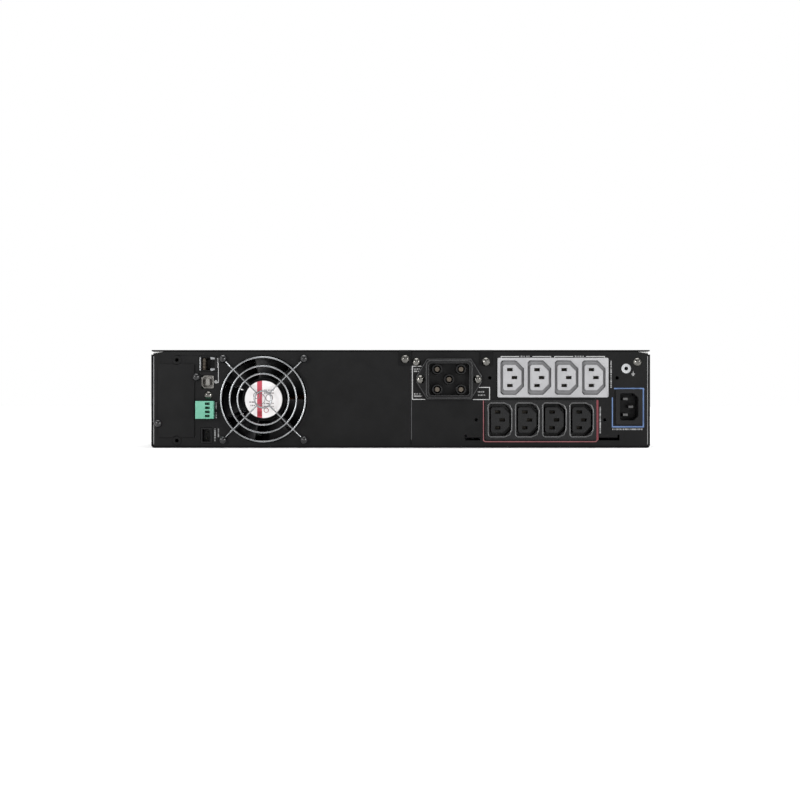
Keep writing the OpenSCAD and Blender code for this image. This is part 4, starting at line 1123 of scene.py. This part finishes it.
settle(join([corner_pad(-1), corner_pad(1)]), "corner_pads", nylon, "chassis_tray")
settle(join([corner_lip(-1), corner_lip(1)]), "corner_lips", panel_coat, "chassis_tray")

# %% [markdown]
# ## The front
# The display shows a level bar and a few digits' worth of blocks, as simple shapes just under the
# glass. Its keys carry arrows and a tick, and the power button the usual ring and stem. The front
# faces the other way from the rear panel, so its prints are turned about the vertical.

# %% Print the display and the keys
def front_sheet(x0, x1, z0, z1, depth):
    """A plane primitive that faces out of the front."""
    clear_selection()
    bpy.ops.mesh.primitive_plane_add(
        size=1, location=at((x0 + x1) / 2, depth, (z0 + z1) / 2), rotation=(-math.pi / 2, 0, 0))
    piece = bpy.context.object
    piece.scale = ((x1 - x0) * MM, (z1 - z0) * MM, 1)
    bpy.ops.object.transform_apply(location=True, rotation=True, scale=True)
    return piece


def front_arrow(x, z, radius, depth, turn):
    """A triangle: a three-sided circle primitive turned to point up or down."""
    clear_selection()
    bpy.ops.mesh.primitive_circle_add(
        vertices=3, radius=radius * MM, fill_type="NGON", location=at(x, depth, z),
        rotation=(-math.pi / 2, turn, 0))
    bpy.ops.object.transform_apply(location=True, rotation=True, scale=True)
    return bpy.context.object


lens_low, lens_high = span("display_lens")
glass = lens_high.y - 0.02
bars = [front_sheet(lens_low.x + 6 + i * 4.6, lens_low.x + 9.6 + i * 4.6, lens_low.z + 4,
                    lens_low.z + 6 + i * 1.1, glass) for i in range(6)]
bars += [front_sheet(lens_low.x + 38 + i * 6, lens_low.x + 42 + i * 6, lens_low.z + 5 + j * 5,
                     lens_low.z + 8.6 + j * 5, glass) for i in range(4) for j in range(2)]
bars += [front_sheet(lens_low.x + 6, lens_high.x - 6, lens_high.z - 5.4, lens_high.z - 4.6, glass)]
print_on("print_display", bars, segment_ink, "display_lens")

for name, turn in (("key_up", 0), ("key_down", math.pi)):
    key = middle(name)
    print_on("print_" + name, [front_arrow(key.x, key.z, 1.3, span(name)[1].y - 0.02, turn)],
             print_white, name)
key = middle("key_enter")
face = span("key_enter")[1].y - 0.02
print_on("print_key_enter", [
    front_sheet(key.x - 1.8, key.x + 1.4, key.z - 0.9, key.z - 0.4, face),
    front_sheet(key.x - 1.8, key.x - 1.3, key.z - 0.4, key.z + 1.2, face),
], print_white, "key_enter")

button = middle("power_button")
cap = span("power_button")[1].y - 0.02
mark = ring(button.x, button.z, 2.9, 0.55, 0)
edit(mark)
pick(mark, lambda f: f.calc_center_median().z > (button.z + 1.9) * MM
     and abs(f.calc_center_median().x - button.x * MM) < 1.1 * MM)
bpy.ops.mesh.delete(type="FACE")
bpy.ops.mesh.select_all(action="SELECT")
bpy.ops.transform.translate(value=(0, cap * MM, 0))
bpy.ops.mesh.flip_normals()
done()
print_on("print_power", [mark, front_sheet(button.x - 0.28, button.x + 0.28, button.z + 0.6,
                                           button.z + 3.0, cap)], print_white, "power_button")
print("front prints ready")

# %% [markdown]
# ## The floor
# A wide sheet of white paper lies under the box. It belongs to the stage, not to the object.

# %% Lay the floor
bpy.ops.object.select_all(action="DESELECT")
bpy.ops.mesh.primitive_plane_add(size=14, location=(0, 0, 0))
floor = bpy.context.object
floor.name = "floor"
paper = finish("paper_sweep", 0.9, specular=0.1)
drift(paper, (0.94, 0.94, 0.94), (0.97, 0.97, 0.97), 3)
floor.data.materials.append(paper)
